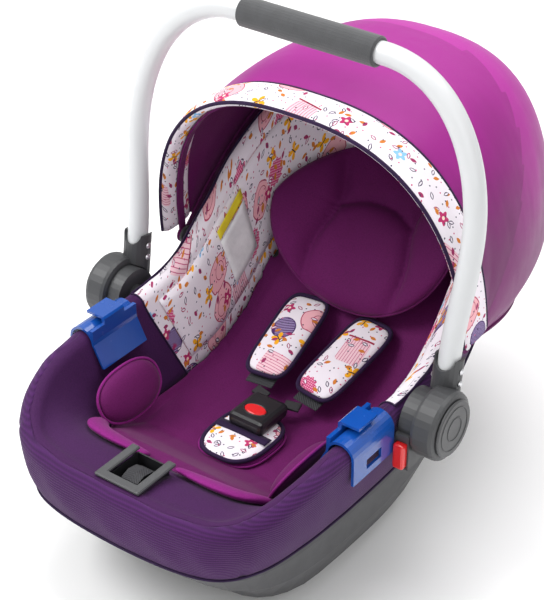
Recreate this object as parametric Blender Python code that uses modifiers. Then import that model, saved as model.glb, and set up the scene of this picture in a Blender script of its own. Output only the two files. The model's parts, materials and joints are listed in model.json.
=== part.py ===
"""Infant car seat: a rocking shell with a padded bucket seat, a swinging carry handle and a folding canopy.

Units are metres, +X is the child's left, +Y points to the head end and +Z is up.
Every shape is first placed about the handle's axis line, which is at y = 0. The whole seat is moved at the
end, so that its origin is the middle of its outline on the ground.
"""
import math

import bmesh
import bpy
import numpy as np
from mathutils import Matrix, Vector

# ---------------------------------------------------------------- driving dimensions
GAP = 0.0003                # gap between pieces that touch
SIDES = (("left", -1), ("right", 1))

HUB_Z = 0.200               # height of the handle's axis above the ground
HANDLE_REACH = 0.351        # handle axis to the grip's centre line
HANDLE_LEAN = math.radians(8.3)
HANDLE_SETBACK = 0.023      # the legs stand this far behind the axis
LEG_X = 0.208               # half width between the legs at the sockets
LEG_BOW_X = 0.215           # half width at the top of the legs
CORNER_HEIGHT = 0.165
TUBE_RADIUS = 0.012
TUBE_WALL = 0.0015
LEG_STEPS = 4
CORNER_STEPS = 8
GRIP_LENGTH = 0.168
GRIP_RADIUS = 0.0160
GRIP_ROUNDING = 0.0015
GRIP_END_ROOM = 0.004       # straight tube past each end of the grip
CORNER_POWERS = (0.92, 0.95)            # how square the handle's upper corners are
SOCKET_RADIUS = 0.0158
DRUM_RADIUS = 0.038
SOCKET_TOP = DRUM_RADIUS + 0.024        # height of the socket's mouth above the axis
TUBE_END = 0.0285           # height above the axis at which the tube ends inside its socket

DRUM_INNER_X = 0.2050
DRUM_OUTER_X = 0.2330
CAP_RADIUS = 0.0315
CAP_THICKNESS = 0.0035
HOUSING_INNER_X = 0.1885
HOUSING_RADIUS = 0.0300
BOLT_RADIUS = 0.0050
GEAR_RADIUS = 0.0220
GEAR_TEETH = 12
GEAR_THICKNESS = 0.0050
GEAR_TOOTH = 0.003
HUB_MERGE = 0.001           # how far a boss reaches into the body that it joins
BUTTON_ROUNDING = 0.0025
DRUM_ROUNDING = 0.0050
SLEEVE_START = 0.012        # height above the axis at which the sleeve starts inside the drum
SADDLE_RADIUS = 0.0125      # of the scoop across the sleeve's mouth
SADDLE_LIFT = 0.0025
HOUSING_ROOM = 0.0012       # round the housing, where the drum turns about it
CAP_ROUNDING = 0.0012
BUTTON_WIDTH = 0.0130
BUTTON_HEIGHT = 0.0300
BUTTON_DROP = 0.0290        # the button's middle below the axis
BUTTON_PROUD = 0.0075
BUTTON_TRAVEL = 0.0040
FOOT_WALL = 0.0030          # of the housing, under the button's pocket
BOSS_RADIUS = 0.0120
BOSS_INNER_X = 0.1795
POCKET_FLOOR_X = HOUSING_INNER_X + 0.0098    # the bottom of the well that the gear turns in
HOUSING_OUTER_X = DRUM_INNER_X - GAP
BUTTON_MIDDLE_X = (HOUSING_INNER_X + HOUSING_OUTER_X) / 2 - 0.0004
BUTTON_FRONT_Y = -0.0345
BUTTON_DEPTH = 0.0130
SPRING_ROOM = 0.0050        # what is left for the pressed spring
POCKET_REAR_Y = BUTTON_FRONT_Y + BUTTON_DEPTH - BUTTON_PROUD + BUTTON_TRAVEL + SPRING_ROOM
BOLT_END_X = 0.2262
BOLT_HEAD_RADIUS = 0.0085
RIVET_HEIGHTS = (DRUM_RADIUS - 0.003, DRUM_RADIUS + 0.011)
RIVET_RADIUS = 0.0019
RIVET_HEAD_RADIUS = 0.0038
RIVET_HEAD_HEIGHT = 0.0016
SPRING_RADIUS = 0.0036
SPRING_WIRE = 0.0005
SPRING_TURNS = 3

WALL = 0.0040               # moulded shell
PAN_WALL = 0.0030
SKIN = 0.0030               # fabric on the outside of the shell
SHELL_GAP = 0.0012          # between that fabric and the shell
PADDING = 0.0060            # fabric and foam on the inside
RIM_ROLL = 0.0130           # half thickness of the padded rim
OUTER_BULGE = 0.0040        # how far the outside swells between the rim and the hem
HEM_STEP = 0.0020           # the shell below the hem stands this far inside the cover
ROCKER_FLAT = 0.082         # half length of the flat that the seat stands on
ROCKER_MIDDLE_Y = -0.008
ROCKER_RADIUS = 0.150
ROCKER_EDGE = 0.012         # height of the rounded edge round the base
PAN_DROP = 0.0200           # seat pan below the seat surface
INSERT_PROUD = 0.0040
INSERT_THICKNESS = 0.0180
LINER_THICKNESS = 0.0050
LINER_GAP = 0.0015
LINER_FIRST_STATION = 7     # the first and last stations that the printed panel reaches
OUTER_STEPS = (0.0, 0.5, 1.0)
WALL_STEPS = (0.0, 0.25, 0.5, 0.75, 0.95)
FLOOR_STEPS = (0.10, 0.45, 0.75, 1.0)

BACK_SLOPE = math.radians(52)
PILLOW_PLACE = (0.0, 0.2052, 0.2538)
PILLOW_HALF = (0.121, 0.098)
PILLOW_TUBE = 0.0205
PILLOW_FLATNESS = 0.8
PILLOW_WRAP = 0.036         # how far the pillow's sides stand forward of its middle
PILLOW_TAPER = 0.20         # how much narrower its upper end is, as a share
PILLOW_STEPS = 28
CUSHION_SHARES = (0.25, 0.55, 0.85, 1.0)     # rings of the cushion, from its middle to its edge
CUSHION_HALF_THICKNESS = 0.013

THIGH_WING_RADII = (0.011, 0.046, 0.027)
THIGH_WING_PLACE = (0.1165, -0.098, 0.152)
THIGH_WING_LEAN = math.radians(27)

SMALL_ROUNDING = 0.0008     # on the edges of small hard pieces
PAST = 0.010                # how far a cutter runs past what it cuts
CROSS_BORE_HALF = 0.030     # half length of the cutters for bores through a leg
BORE_START_X, BORE_FAR_X = 0.15, 0.25   # between them every bore along the handle's axis lies

PAD_TOP = (0.046, 0.150, 0.168)
PAD_BOTTOM = (0.033, 0.034, 0.131)
PAD_WIDTH = 0.054
PAD_THICKNESS = 0.011
STRAP_WIDTH = 0.034
STRAP_THICKNESS = 0.0014
STRAP_ROUNDING = 0.0004
STRAP_ENDS = (0.010, 0.004)             # how far it shows below and above its pad
TONGUE_SIZE = (0.012, 0.0035)           # width and thickness
TONGUE_START = (0.0120, 0.0065, 0.006)  # from the middle of the buckle's rear edge
TONGUE_END = 0.017                      # below the pad's lower end
CROTCH_TOP_Y, CROTCH_BOTTOM_Y = -0.004, -0.093
CROTCH_Z = 0.1045
BACKING_THICKNESS = 0.0045
CROTCH_THICKNESS = 0.0065
CROTCH_WIDTH = 0.074
CROTCH_ROUNDING = 0.0028
CROTCH_STRAP_ENDS = (0.020, 0.010)      # inside the pad's front end and past its rear one
BACKING_WIDTH = 0.084
BACKING_INSET = 0.004
BACKING_ROUNDING = 0.0018
YOKE_LOW, YOKE_HIGH = (-0.030, 0.100, 0.052), (0.030, 0.125, 0.0545)
BUCKLE_LENGTH = 0.052
BUCKLE_WIDTH = 0.046
BUCKLE_THICKNESS = 0.0170
BUCKLE_BUTTON = (0.0135, 0.0082)       # half length and half width of its oval
BUCKLE_BUTTON_SETBACK = 0.021
BUCKLE_BUTTON_HEIGHTS = (-0.0040, 0.0012)   # from the housing's face
BUCKLE_WELL_ROOM = 0.0045
BUCKLE_ROUNDING = 0.005
BUCKLE_TRAVEL = 0.0030
BUCKLE_Z = CROTCH_Z + BACKING_THICKNESS + CROTCH_THICKNESS + 3 * GAP
BUCKLE_FRONT_Y = -0.044

PIT_HALF_X = 0.0205
PIT_FRONT_Y, PIT_REAR_Y = -0.2420, -0.1930
PIT_BOTTOM_Z = 0.1300
PIT_TOP_Z = 0.1735
PIT_CUT_TOP_Z = 0.2000
TRAY_WALL = 0.0018
BEZEL_MARGIN = 0.0085
BEZEL_Z = 0.1756
BEZEL_THICKNESS = 0.0042
BEZEL_ROUNDING = 0.0012
BEZEL_REAR = 0.002          # how far the bezel's legs run past the pit
LEVER_FRONT_ROOM = 0.004
LEVER_PIN = (-0.2010, 0.1440)
LEVER_PIN_RADIUS = 0.0015
LEVER_HALF = (0.0110, 0.0035, 0.0028)   # half width, reach behind the pin and half thickness
ADJUSTER_STRAP_HALF = 0.0105
# The adjuster strap's way out of the pit and over the lip (y, z).
ADJUSTER_ROUTE = ((-0.2385, 0.1500), (-0.2370, 0.1600), (-0.2300, 0.1690), (-0.2200, 0.1725),
                  (-0.2080, 0.1700), (-0.1985, 0.1620))

GUIDE_FRONT_Y, GUIDE_REAR_Y = -0.109, -0.037
GUIDE_CLEARANCE = 0.0012
GUIDE_WALL = 0.0030
GUIDE_CREST = (0.1712, 0.2155)
GUIDE_OUTER_DROP = 0.030
GUIDE_INNER_RUN = (-0.0130, -0.0260)
HOOK_RISE = 0.0085
HOOK_HALF_LENGTH = 0.016
HOOK_REACH = 0.009
HOOK_TIP = 0.002
HOOK_TRIM_HALF_X = 0.030
SLOT_HALF_LENGTH = 0.013
SLOT_DROPS = (0.022, 0.010)             # bottom and top of the slot, below the arch's middle
HOOK_STEM = (9, 11)         # the arch's points, 15 degrees apart, between which the hook rises

CANOPY_Y = 0.092
CANOPY_Z = 0.235
BAND_ANGLE = math.radians(-6.0)
BAND_REACH = 0.232
BAND_X = 0.2010
BAND_WIDTH = 0.046
BAND_THICKNESS = 0.0120
BAND_FLAT = 0.6             # share of the band's width that is flat
BAND_STEPS = 28
BAND_START, FABRIC_START, BOW_START = 0.030, 0.045, 0.004   # radians left out at each end of the arches
FABRIC_STEPS = 20
BOW_WIDTH = 0.010
BOW_STEPS = 24
MID_BOW_ANGLE = math.radians(45.0)
MID_BOW_REACH = 0.3140
FABRIC_THICKNESS = 0.0025
ARCH_POWER = 2.5            # squareness of the canopy's arches
BRACKET_X = 0.1858
BRACKET_THICKNESS = 0.0026
BRACKET_RADIUS = 0.0115
PIN_RADIUS = 0.0030
EAR_RADIUS = 0.0100
EAR_THICKNESS = 0.0022
EAR_GAP = 0.0004
PIN_HEAD_RADIUS = 0.0055
PIN_HEAD_THICKNESS = 0.0014
MID_EAR_X = BRACKET_X + BRACKET_THICKNESS + EAR_GAP
FRONT_EAR_X = MID_EAR_X + EAR_THICKNESS + EAR_GAP
PIN_HEAD_X = FRONT_EAR_X + EAR_THICKNESS + EAR_GAP
FRONT_BOW_REACH = BAND_REACH - BAND_THICKNESS / 2 - EAR_THICKNESS

# Half outlines of the seat, from the middle of the foot end round to the middle of the head end.
# Each row is one station: rim crest (x, y, z), hem of the outer cover (x, y, z), edge of the base (x, y)
# and edge of the seat floor (x, y, z). The last two values are how the inner wall bends, 1 being straight,
# and how far the wall starts below the crest, as a share of the rim's half thickness.
STATIONS = (
    ((0.000, -0.254, 0.175), (0.000, -0.262, 0.110), (0.000, -0.197), (0.000, -0.172, 0.148), 2.6, 0.3),
    ((0.078, -0.251, 0.175), (0.077, -0.257, 0.110), (0.060, -0.196), (0.070, -0.170, 0.147), 2.6, 0.3),
    ((0.124, -0.238, 0.178), (0.122, -0.240, 0.109), (0.103, -0.186), (0.100, -0.157, 0.140), 1.9, 0.5),
    ((0.152, -0.208, 0.191), (0.146, -0.203, 0.108), (0.123, -0.155), (0.115, -0.130, 0.122), 1.3, 0.8),
    ((0.167, -0.165, 0.206), (0.156, -0.152, 0.108), (0.132, -0.110), (0.120, -0.090, 0.104), 1.0, 1.0),
    ((0.171, -0.110, 0.213), (0.160, -0.097, 0.108), (0.135, -0.060), (0.122, -0.050, 0.101), 1.0, 1.0),
    ((0.171, -0.050, 0.215), (0.161, -0.040, 0.108), (0.136, -0.020), (0.122, -0.010, 0.101), 1.0, 1.0),
    ((0.172, 0.010, 0.217), (0.161, 0.015, 0.110), (0.136, 0.025), (0.122, 0.035, 0.106), 1.0, 1.0),
    ((0.171, 0.060, 0.232), (0.160, 0.065, 0.118), (0.133, 0.065), (0.122, 0.080, 0.116), 1.0, 1.0),
    ((0.168, 0.115, 0.280), (0.156, 0.130, 0.140), (0.127, 0.105), (0.123, 0.130, 0.142), 1.0, 1.0),
    ((0.160, 0.170, 0.338), (0.146, 0.200, 0.180), (0.112, 0.140), (0.120, 0.180, 0.188), 1.0, 1.0),
    ((0.135, 0.235, 0.388), (0.120, 0.265, 0.215), (0.085, 0.162), (0.098, 0.226, 0.240), 1.0, 1.0),
    ((0.085, 0.287, 0.408), (0.075, 0.315, 0.238), (0.050, 0.172), (0.060, 0.256, 0.285), 1.0, 1.0),
    ((0.000, 0.310, 0.412), (0.000, 0.330, 0.246), (0.000, 0.176), (0.000, 0.268, 0.302), 1.0, 1.0),
)
# Middle line of the seat surface, from the front lip to the head end (y, z).
SEAT_LINE = ((-0.165, 0.145), (-0.120, 0.112), (-0.087, 0.096), (-0.030, 0.094), (0.030, 0.098),
             (0.080, 0.108), (0.120, 0.126), (0.155, 0.150), (0.200, 0.195), (0.250, 0.262), (0.270, 0.300))
SPINE_START, SPINE_END = -0.130, 0.235
SAMPLES = 2                 # outline points per station

# The canopy cloth, row by row from the band to the rear hem: angle from upright in degrees, reach from the
# pivot line, half width, and how far the row is set back behind its own angle.
CANOPY_ROWS = ((-6, 0.2400, 0.2010, 0.0245), (8, 0.2560, 0.2010, 0.0200), (24, 0.2860, 0.2005, 0.0120),
               (42, 0.3200, 0.2000, 0.0040), (58, 0.3330, 0.2000, 0.0), (73, 0.3360, 0.1990, 0.0),
               (86, 0.3260, 0.1960, 0.0), (95, 0.2900, 0.1920, 0.0), (101, 0.2500, 0.1900, 0.0))

PLASTIC_GREY = ((0.060, 0.063, 0.068, 1), 0.55, 0.0)
DARK_GREY = ((0.035, 0.037, 0.041, 1), 0.50, 0.0)
BLACK = ((0.012, 0.012, 0.014, 1), 0.55, 0.0)
FOAM = ((0.040, 0.041, 0.044, 1), 0.90, 0.0)
ALUMINIUM = ((0.820, 0.830, 0.840, 1), 0.35, 0.2)
STEEL = ((0.620, 0.620, 0.630, 1), 0.30, 1.0)
RED = ((0.720, 0.020, 0.025, 1), 0.35, 0.0)
BLUE = ((0.010, 0.120, 0.480, 1), 0.22, 0.0)
VIOLET = ((0.055, 0.012, 0.095, 1), 0.90, 0.0)
MAGENTA = ((0.150, 0.008, 0.160, 1), 0.85, 0.0)
SATIN = ((0.330, 0.020, 0.300, 1), 0.50, 0.0)
PRINT = ((0.820, 0.740, 0.780, 1), 0.85, 0.0)
WEBBING = ((0.020, 0.020, 0.024, 1), 0.75, 0.0)

for old in list(bpy.data.objects):
    bpy.data.objects.remove(old, do_unlink=True)

PARTS = bpy.data.collections.new("infant_car_seat")
CUTTERS = bpy.data.collections.new("cutters")
bpy.context.scene.collection.children.link(PARTS)
bpy.context.scene.collection.children.link(CUTTERS)


# ---------------------------------------------------------------- making objects
def material(name, look):
    """Return the material of one sub-part."""
    colour, roughness, metallic = look
    mat = bpy.data.materials.new(name)
    mat.use_nodes = True
    shader = mat.node_tree.nodes["Principled BSDF"]
    shader.inputs["Base Color"].default_value = colour
    shader.inputs["Roughness"].default_value = roughness
    shader.inputs["Metallic"].default_value = metallic
    mat.diffuse_color = colour
    return mat


def add_part(name, mesh, look, matrix=None):
    """Put a mesh into the seat as a named sub-part."""
    obj = bpy.data.objects.new(name, mesh)
    PARTS.objects.link(obj)
    if matrix is not None:
        obj.matrix_world = matrix
    mesh.materials.clear()
    mesh.materials.append(material(name, look))
    mesh.shade_smooth()
    mesh.set_sharp_from_angle(angle=math.radians(40))
    return obj


def add_cutter(name, mesh, matrix=None):
    """Put a mesh among the cutters, hidden from view."""
    obj = bpy.data.objects.new(name, mesh)
    CUTTERS.objects.link(obj)
    if matrix is not None:
        obj.matrix_world = matrix
    obj.hide_render = True
    obj.display_type = "WIRE"
    return obj


def combine(obj, other, operation):
    """Add a Boolean of another object to a part."""
    boolean = obj.modifiers.new(operation.lower(), "BOOLEAN")
    boolean.operation = operation
    boolean.object = other
    boolean.solver = "EXACT"


def round_edges(obj, width, segments=1, angle=35):
    """Round the sharp edges of a part."""
    bevel = obj.modifiers.new("rounding", "BEVEL")
    bevel.width = width
    bevel.segments = segments
    bevel.limit_method = "ANGLE"
    bevel.angle_limit = math.radians(angle)


def finish_mesh(name, bm):
    """Turn a bmesh into a clean mesh with its faces pointing out."""
    bmesh.ops.remove_doubles(bm, verts=bm.verts, dist=1e-6)
    bmesh.ops.recalc_face_normals(bm, faces=bm.faces)
    mesh = bpy.data.meshes.new(name)
    bm.to_mesh(mesh)
    bm.free()
    return mesh


def box_mesh(name, low, high):
    """A box between two corners."""
    bm = bmesh.new()
    bmesh.ops.create_cube(bm, size=1.0)
    size = Vector(high) - Vector(low)
    middle = (Vector(high) + Vector(low)) / 2
    bmesh.ops.scale(bm, vec=size, verts=bm.verts)
    bmesh.ops.translate(bm, vec=middle, verts=bm.verts)
    return finish_mesh(name, bm)


def cylinder_mesh(name, radius, start, end, segments=32):
    """A cylinder along +X from start to end."""
    bm = bmesh.new()
    bmesh.ops.create_cone(bm, cap_ends=True, segments=segments, radius1=radius, radius2=radius,
                          depth=end - start)
    bmesh.ops.rotate(bm, cent=(0, 0, 0), matrix=Matrix.Rotation(math.pi / 2, 3, "Y"), verts=bm.verts)
    bmesh.ops.translate(bm, vec=((start + end) / 2, 0, 0), verts=bm.verts)
    return finish_mesh(name, bm)


def loft(name, rings, joined=False, capped=False):
    """Skin a run of closed rings; joined closes the run on itself, capped fills its two ends."""
    bm = bmesh.new()
    rows = [[bm.verts.new(point) for point in ring] for ring in rings]
    count = len(rows[0])
    pairs = list(zip(rows, rows[1:]))
    if joined:
        pairs.append((rows[-1], rows[0]))
    for near, far in pairs:
        for i in range(count):
            j = (i + 1) % count
            bm.faces.new((near[i], near[j], far[j], far[i]))
    if capped:
        bm.faces.new(rows[0])
        bm.faces.new(rows[-1])
    bmesh.ops.remove_doubles(bm, verts=bm.verts, dist=1e-6)
    bmesh.ops.dissolve_degenerate(bm, edges=bm.edges, dist=1e-7)
    return finish_mesh(name, bm)


def tube_mesh(name, points, radius, resolution=3):
    """A round tube along points, made from a bevelled curve and closed at its ends."""
    curve = bpy.data.curves.new(name, "CURVE")
    curve.dimensions = "3D"
    curve.bevel_depth = radius
    curve.bevel_resolution = resolution
    curve.use_fill_caps = True
    spline = curve.splines.new("POLY")
    spline.points.add(len(points) - 1)
    for point, place in zip(spline.points, points):
        point.co = (*place, 1)
    holder = bpy.data.objects.new(name, curve)
    bpy.context.scene.collection.objects.link(holder)
    mesh = bpy.data.meshes.new_from_object(holder.evaluated_get(bpy.context.evaluated_depsgraph_get()))
    bpy.data.objects.remove(holder, do_unlink=True)
    bm = bmesh.new()
    bm.from_mesh(mesh)
    return finish_mesh(name, bm)


def turned_part(name, outline, look, matrix, steps):
    """A turned piece: an outline of (x, radius) points spun about the X axis."""
    joined = outline[0][1] > 0
    count = len(outline)
    edges = [(i, (i + 1) % count) for i in range(count if joined else count - 1)]
    mesh = bpy.data.meshes.new(name)
    mesh.from_pydata([(x, 0, radius) for x, radius in outline], edges, [])
    obj = add_part(name, mesh, look, matrix)
    screw = obj.modifiers.new("turning", "SCREW")
    screw.axis = "X"
    screw.steps = steps
    screw.render_steps = steps
    screw.use_merge_vertices = True
    screw.merge_threshold = 1e-6
    screw.use_normal_calculate = True
    screw.use_normal_flip = not joined
    return obj


def mirrored(mesh, side):
    """The same mesh for the right side, or its mirror image for the left."""
    if side > 0:
        return mesh
    bm = bmesh.new()
    bm.from_mesh(mesh)
    bmesh.ops.scale(bm, vec=(-1, 1, 1), verts=bm.verts)
    return finish_mesh(mesh.name, bm)


def frame_at(origin, along, up):
    """A matrix whose X axis runs along one direction and whose Z axis is close to another."""
    x_axis = Vector(along).normalized()
    y_axis = Vector(up).cross(x_axis).normalized()
    z_axis = x_axis.cross(y_axis)
    turned = Matrix((x_axis, y_axis, z_axis)).transposed()
    return Matrix.Translation(origin) @ turned.to_4x4()


# ---------------------------------------------------------------- the seat's outlines
def closed_spline(points, samples):
    """Points along a closed Catmull-Rom spline through the given points."""
    points = np.array(points, float)
    count = len(points)
    out = []
    for i in range(count):
        p0, p1, p2, p3 = (points[(i + k) % count] for k in (-1, 0, 1, 2))
        for step in range(samples):
            t = step / samples
            out.append(0.5 * (2 * p1 + (p2 - p0) * t + (2 * p0 - 5 * p1 + 4 * p2 - p3) * t ** 2
                              + (3 * p1 - p0 - 3 * p2 + p3) * t ** 3))
    return np.array(out)


def full_loop(column):
    """The closed outline of one station column, mirrored across the middle plane."""
    half = [np.atleast_1d(np.array(row[column], float)) for row in STATIONS]
    flip = np.array([-1.0] + [1.0] * (len(half[0]) - 1)) if len(half[0]) > 1 else np.array([1.0])
    other = [point * flip for point in half[-2:0:-1]]
    return closed_spline(half + other, SAMPLES)


def seat_height(y):
    """Height of the seat surface on the middle plane."""
    line = np.array(SEAT_LINE)
    return np.interp(y, line[:, 0], line[:, 1])


def rocker_height(y):
    """Height of the base's underside: flat in the middle and curved up towards both ends."""
    reach = np.maximum(np.abs(y - ROCKER_MIDDLE_Y) - ROCKER_FLAT, 0)
    return reach ** 2 / (2 * ROCKER_RADIUS)


RIM = full_loop(0)
HEM = full_loop(1)
BASE = full_loop(2)
FLOOR = full_loop(3)
BEND = full_loop(4)[:, 0]
SHOULDER = full_loop(5)

along_rim = np.roll(RIM, -1, axis=0) - np.roll(RIM, 1, axis=0)
OUTWARD = np.stack([along_rim[:, 1], -along_rim[:, 0], np.zeros(len(RIM))], -1)
OUTWARD /= np.linalg.norm(OUTWARD, axis=1)[:, None]
UP = np.array([0.0, 0.0, 1.0])


def outer_wall(t, inset):
    """The outside of the seat from the rim's shoulder, t = 0, to the hem, t = 1."""
    top = RIM + OUTWARD * RIM_ROLL - UP * RIM_ROLL
    place = top + (HEM - top) * t
    return place + OUTWARD * (OUTER_BULGE * math.sin(math.pi * t) - inset)


def lower_wall(t, inset):
    """The outside of the base from the hem, t = 0, to the rocker's edge, t = 1."""
    edge = np.stack([BASE[:, 0], BASE[:, 1], rocker_height(BASE[:, 1]) + ROCKER_EDGE], -1)
    place = HEM + (edge - HEM) * t
    return place + OUTWARD * (2.2 * OUTER_BULGE * math.sin(math.pi * t) - inset)


def underside(t, lift):
    """The underside of the base from just inside its edge, t = 0, to its middle line, t = 1."""
    shrink = 1 - ROCKER_EDGE / 0.13
    middle_y = (BASE[:, 1].max() + BASE[:, 1].min()) / 2
    start = np.stack([BASE[:, 0] * shrink, middle_y + (BASE[:, 1] - middle_y) * shrink], -1)
    end = np.stack([BASE[:, 0] * 0, middle_y + (start[:, 1] - middle_y) * 0.5], -1)
    flat = start + (end - start) * t
    return np.stack([flat[:, 0], flat[:, 1], rocker_height(flat[:, 1]) + lift], -1)


def roll(angle, radius):
    """The rounded top of the padded rim; the angle runs from +90 on the outside to -90 on the inside."""
    drop = RIM_ROLL - radius * math.cos(math.radians(angle))
    share = SHOULDER if angle < 0 else 1.0
    return RIM + OUTWARD * radius * math.sin(math.radians(angle)) - UP * drop * share


def inner_rows():
    """The seat's inside: wall rows from the rim down to the floor, then floor rows in to the middle."""
    top = RIM - OUTWARD * RIM_ROLL - UP * RIM_ROLL * SHOULDER
    rows = []
    for s in WALL_STEPS:
        flat = top + (FLOOR - top) * s
        height = top[:, 2] - (top[:, 2] - FLOOR[:, 2]) * s ** BEND
        rows.append(np.stack([flat[:, 0], flat[:, 1], height], -1))
    share = (FLOOR[:, 1] - FLOOR[:, 1].min()) / (FLOOR[:, 1].max() - FLOOR[:, 1].min())
    spine_y = SPINE_START + (SPINE_END - SPINE_START) * share
    edge_lift = FLOOR[:, 2] - seat_height(FLOOR[:, 1])
    for f in FLOOR_STEPS:
        x = FLOOR[:, 0] * (1 - f)
        y = FLOOR[:, 1] + (spine_y - FLOOR[:, 1]) * f
        rows.append(np.stack([x, y, seat_height(y) + edge_lift * (1 - f) ** 2], -1))
    return np.array(rows)


INNER = inner_rows()


def surface_normals(rows):
    """Unit normals of a grid of rings, pointing away from the child."""
    across = np.gradient(rows, axis=0)
    around = np.roll(rows, -1, axis=1) - np.roll(rows, 1, axis=1)
    around[-1] = around[-2]
    normals = np.cross(around, across)
    normals /= np.maximum(np.linalg.norm(normals, axis=2), 1e-9)[:, :, None]
    flip = np.where(normals[:, :, 2] > 0, -1.0, 1.0)
    normals *= flip[:, :, None]
    half = rows.shape[1] // 2
    twin = (-np.arange(2 * half)) % (2 * half)
    last = (normals[-1] + normals[-1][twin]) * np.array([0.0, 1.0, 1.0])
    normals[-1] = last / np.linalg.norm(last, axis=1)[:, None]
    return normals


NORMALS = surface_normals(INNER)


def inner_surface(row, depth):
    """One ring of the seat's inside, moved down into the padding by a depth."""
    return INNER[row] + NORMALS[row] * depth


# ---------------------------------------------------------------- shell, pan and covers
def carrier_shell():
    """The moulded outer shell with its rocker base, open at the top."""
    inset = SKIN + SHELL_GAP
    outside = [outer_wall(t, inset) for t in OUTER_STEPS]
    outside += [lower_wall(t, HEM_STEP) for t in (0.12, 0.5, 1.0)]
    outside += [underside(t, 0.0) for t in (0.0, 0.5, 1.0)]
    inside = [outer_wall(t, inset + WALL) for t in OUTER_STEPS]
    inside += [lower_wall(t, HEM_STEP + WALL) for t in (0.12, 0.5)]
    inside += [lower_wall(1.0, WALL + HEM_STEP) + UP * WALL]
    inside += [underside(t, WALL) for t in (0.05, 0.5, 1.0)]
    mesh = loft("carrier_shell", outside[::-1] + inside)
    return add_part("carrier_shell", mesh, PLASTIC_GREY)


def seat_pan():
    """The inner seat pan under the padding."""
    last = len(WALL_STEPS)
    tops, bottoms = [], []
    for row in range(len(INNER)):
        share = min(WALL_STEPS[row] if row < last else 1.0, 1.0)
        depth = PADDING + GAP + (PAN_DROP - PADDING) * share ** 1.5
        tops.append(inner_surface(row, depth))
        bottoms.append(inner_surface(row, depth + PAN_WALL))
    mesh = loft("seat_pan", tops[::-1] + bottoms)
    return add_part("seat_pan", mesh, BLACK)


def seat_cover():
    """The fabric cover that wraps over the rim, from the hem outside to the floor inside."""
    wall_rows = range(len(WALL_STEPS))
    face = [outer_wall(t, 0.0) for t in reversed(OUTER_STEPS)]
    face += [roll(angle, RIM_ROLL) for angle in (60, 30, 0, -30, -60)]
    face += [inner_surface(row, 0.0) for row in wall_rows]
    back = [inner_surface(row, PADDING) for row in reversed(wall_rows)]
    back += [roll(angle, RIM_ROLL - PADDING) for angle in (-50, 10)]
    back += [outer_wall(t, SKIN) for t in OUTER_STEPS]
    mesh = loft("seat_cover", face + back, joined=True)
    return add_part("seat_cover", mesh, VIOLET)


def side_liner():
    """The printed panel on the inner walls, from one hub round the head end to the other."""
    first, last = 2 * LINER_FIRST_STATION, len(RIM) - 2 * LINER_FIRST_STATION
    columns = range(first, last + 1)
    rows = range(0, len(WALL_STEPS) - 1)
    sections = []
    for column in columns:
        front = [INNER[row][column] - NORMALS[row][column] * (LINER_THICKNESS + LINER_GAP) for row in rows]
        rear = [INNER[row][column] - NORMALS[row][column] * LINER_GAP for row in reversed(rows)]
        sections.append(front + rear)
    mesh = loft("side_liner", sections, capped=True)
    return add_part("side_liner", mesh, PRINT)


def seat_insert():
    """The soft insert on the seat floor and the backrest."""
    rows = range(len(WALL_STEPS), len(INNER))
    tops = [inner_surface(row, -INSERT_PROUD) for row in rows]
    bottoms = [inner_surface(row, INSERT_THICKNESS - INSERT_PROUD) for row in rows]
    mesh = loft("seat_insert", tops[::-1] + bottoms)
    return add_part("seat_insert", mesh, MAGENTA)


def ellipsoid(name, radii, segments=16, rings=8):
    """A soft rounded pad."""
    bm = bmesh.new()
    bmesh.ops.create_uvsphere(bm, u_segments=segments, v_segments=rings, radius=1.0)
    bmesh.ops.scale(bm, vec=radii, verts=bm.verts)
    return finish_mesh(name, bm)


def thigh_wings():
    """The two small wings that lean on the side walls beside the thighs."""
    for name, side in SIDES:
        mesh = ellipsoid("thigh_wing_" + name, THIGH_WING_RADII)
        lean = Matrix.Rotation(side * THIGH_WING_LEAN, 4, "Y")
        place = Matrix.Translation((side * THIGH_WING_PLACE[0], *THIGH_WING_PLACE[1:]))
        add_part("thigh_wing_" + name, mesh, MAGENTA, place @ lean)


# ---------------------------------------------------------------- head pillow and harness
def pillow_frame():
    """The head pillow's frame: X across the seat, Y up the backrest and Z out of it."""
    up_back = Vector((0, math.cos(BACK_SLOPE), math.sin(BACK_SLOPE)))
    out = Vector((0, -math.sin(BACK_SLOPE), math.cos(BACK_SLOPE)))
    turned = Matrix((Vector((1, 0, 0)), up_back, out)).transposed()
    return Matrix.Translation(PILLOW_PLACE) @ turned.to_4x4()


def wrapped(turn, half, share, rise):
    """A point of the head pillow, narrower at the top and moved forward by its distance from the middle."""
    x = half[0] * share * math.cos(turn) * (1 - PILLOW_TAPER * share * max(math.sin(turn), 0))
    return np.array([x, half[1] * share * math.sin(turn), rise + PILLOW_WRAP * (x / PILLOW_HALF[0]) ** 2])


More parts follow.
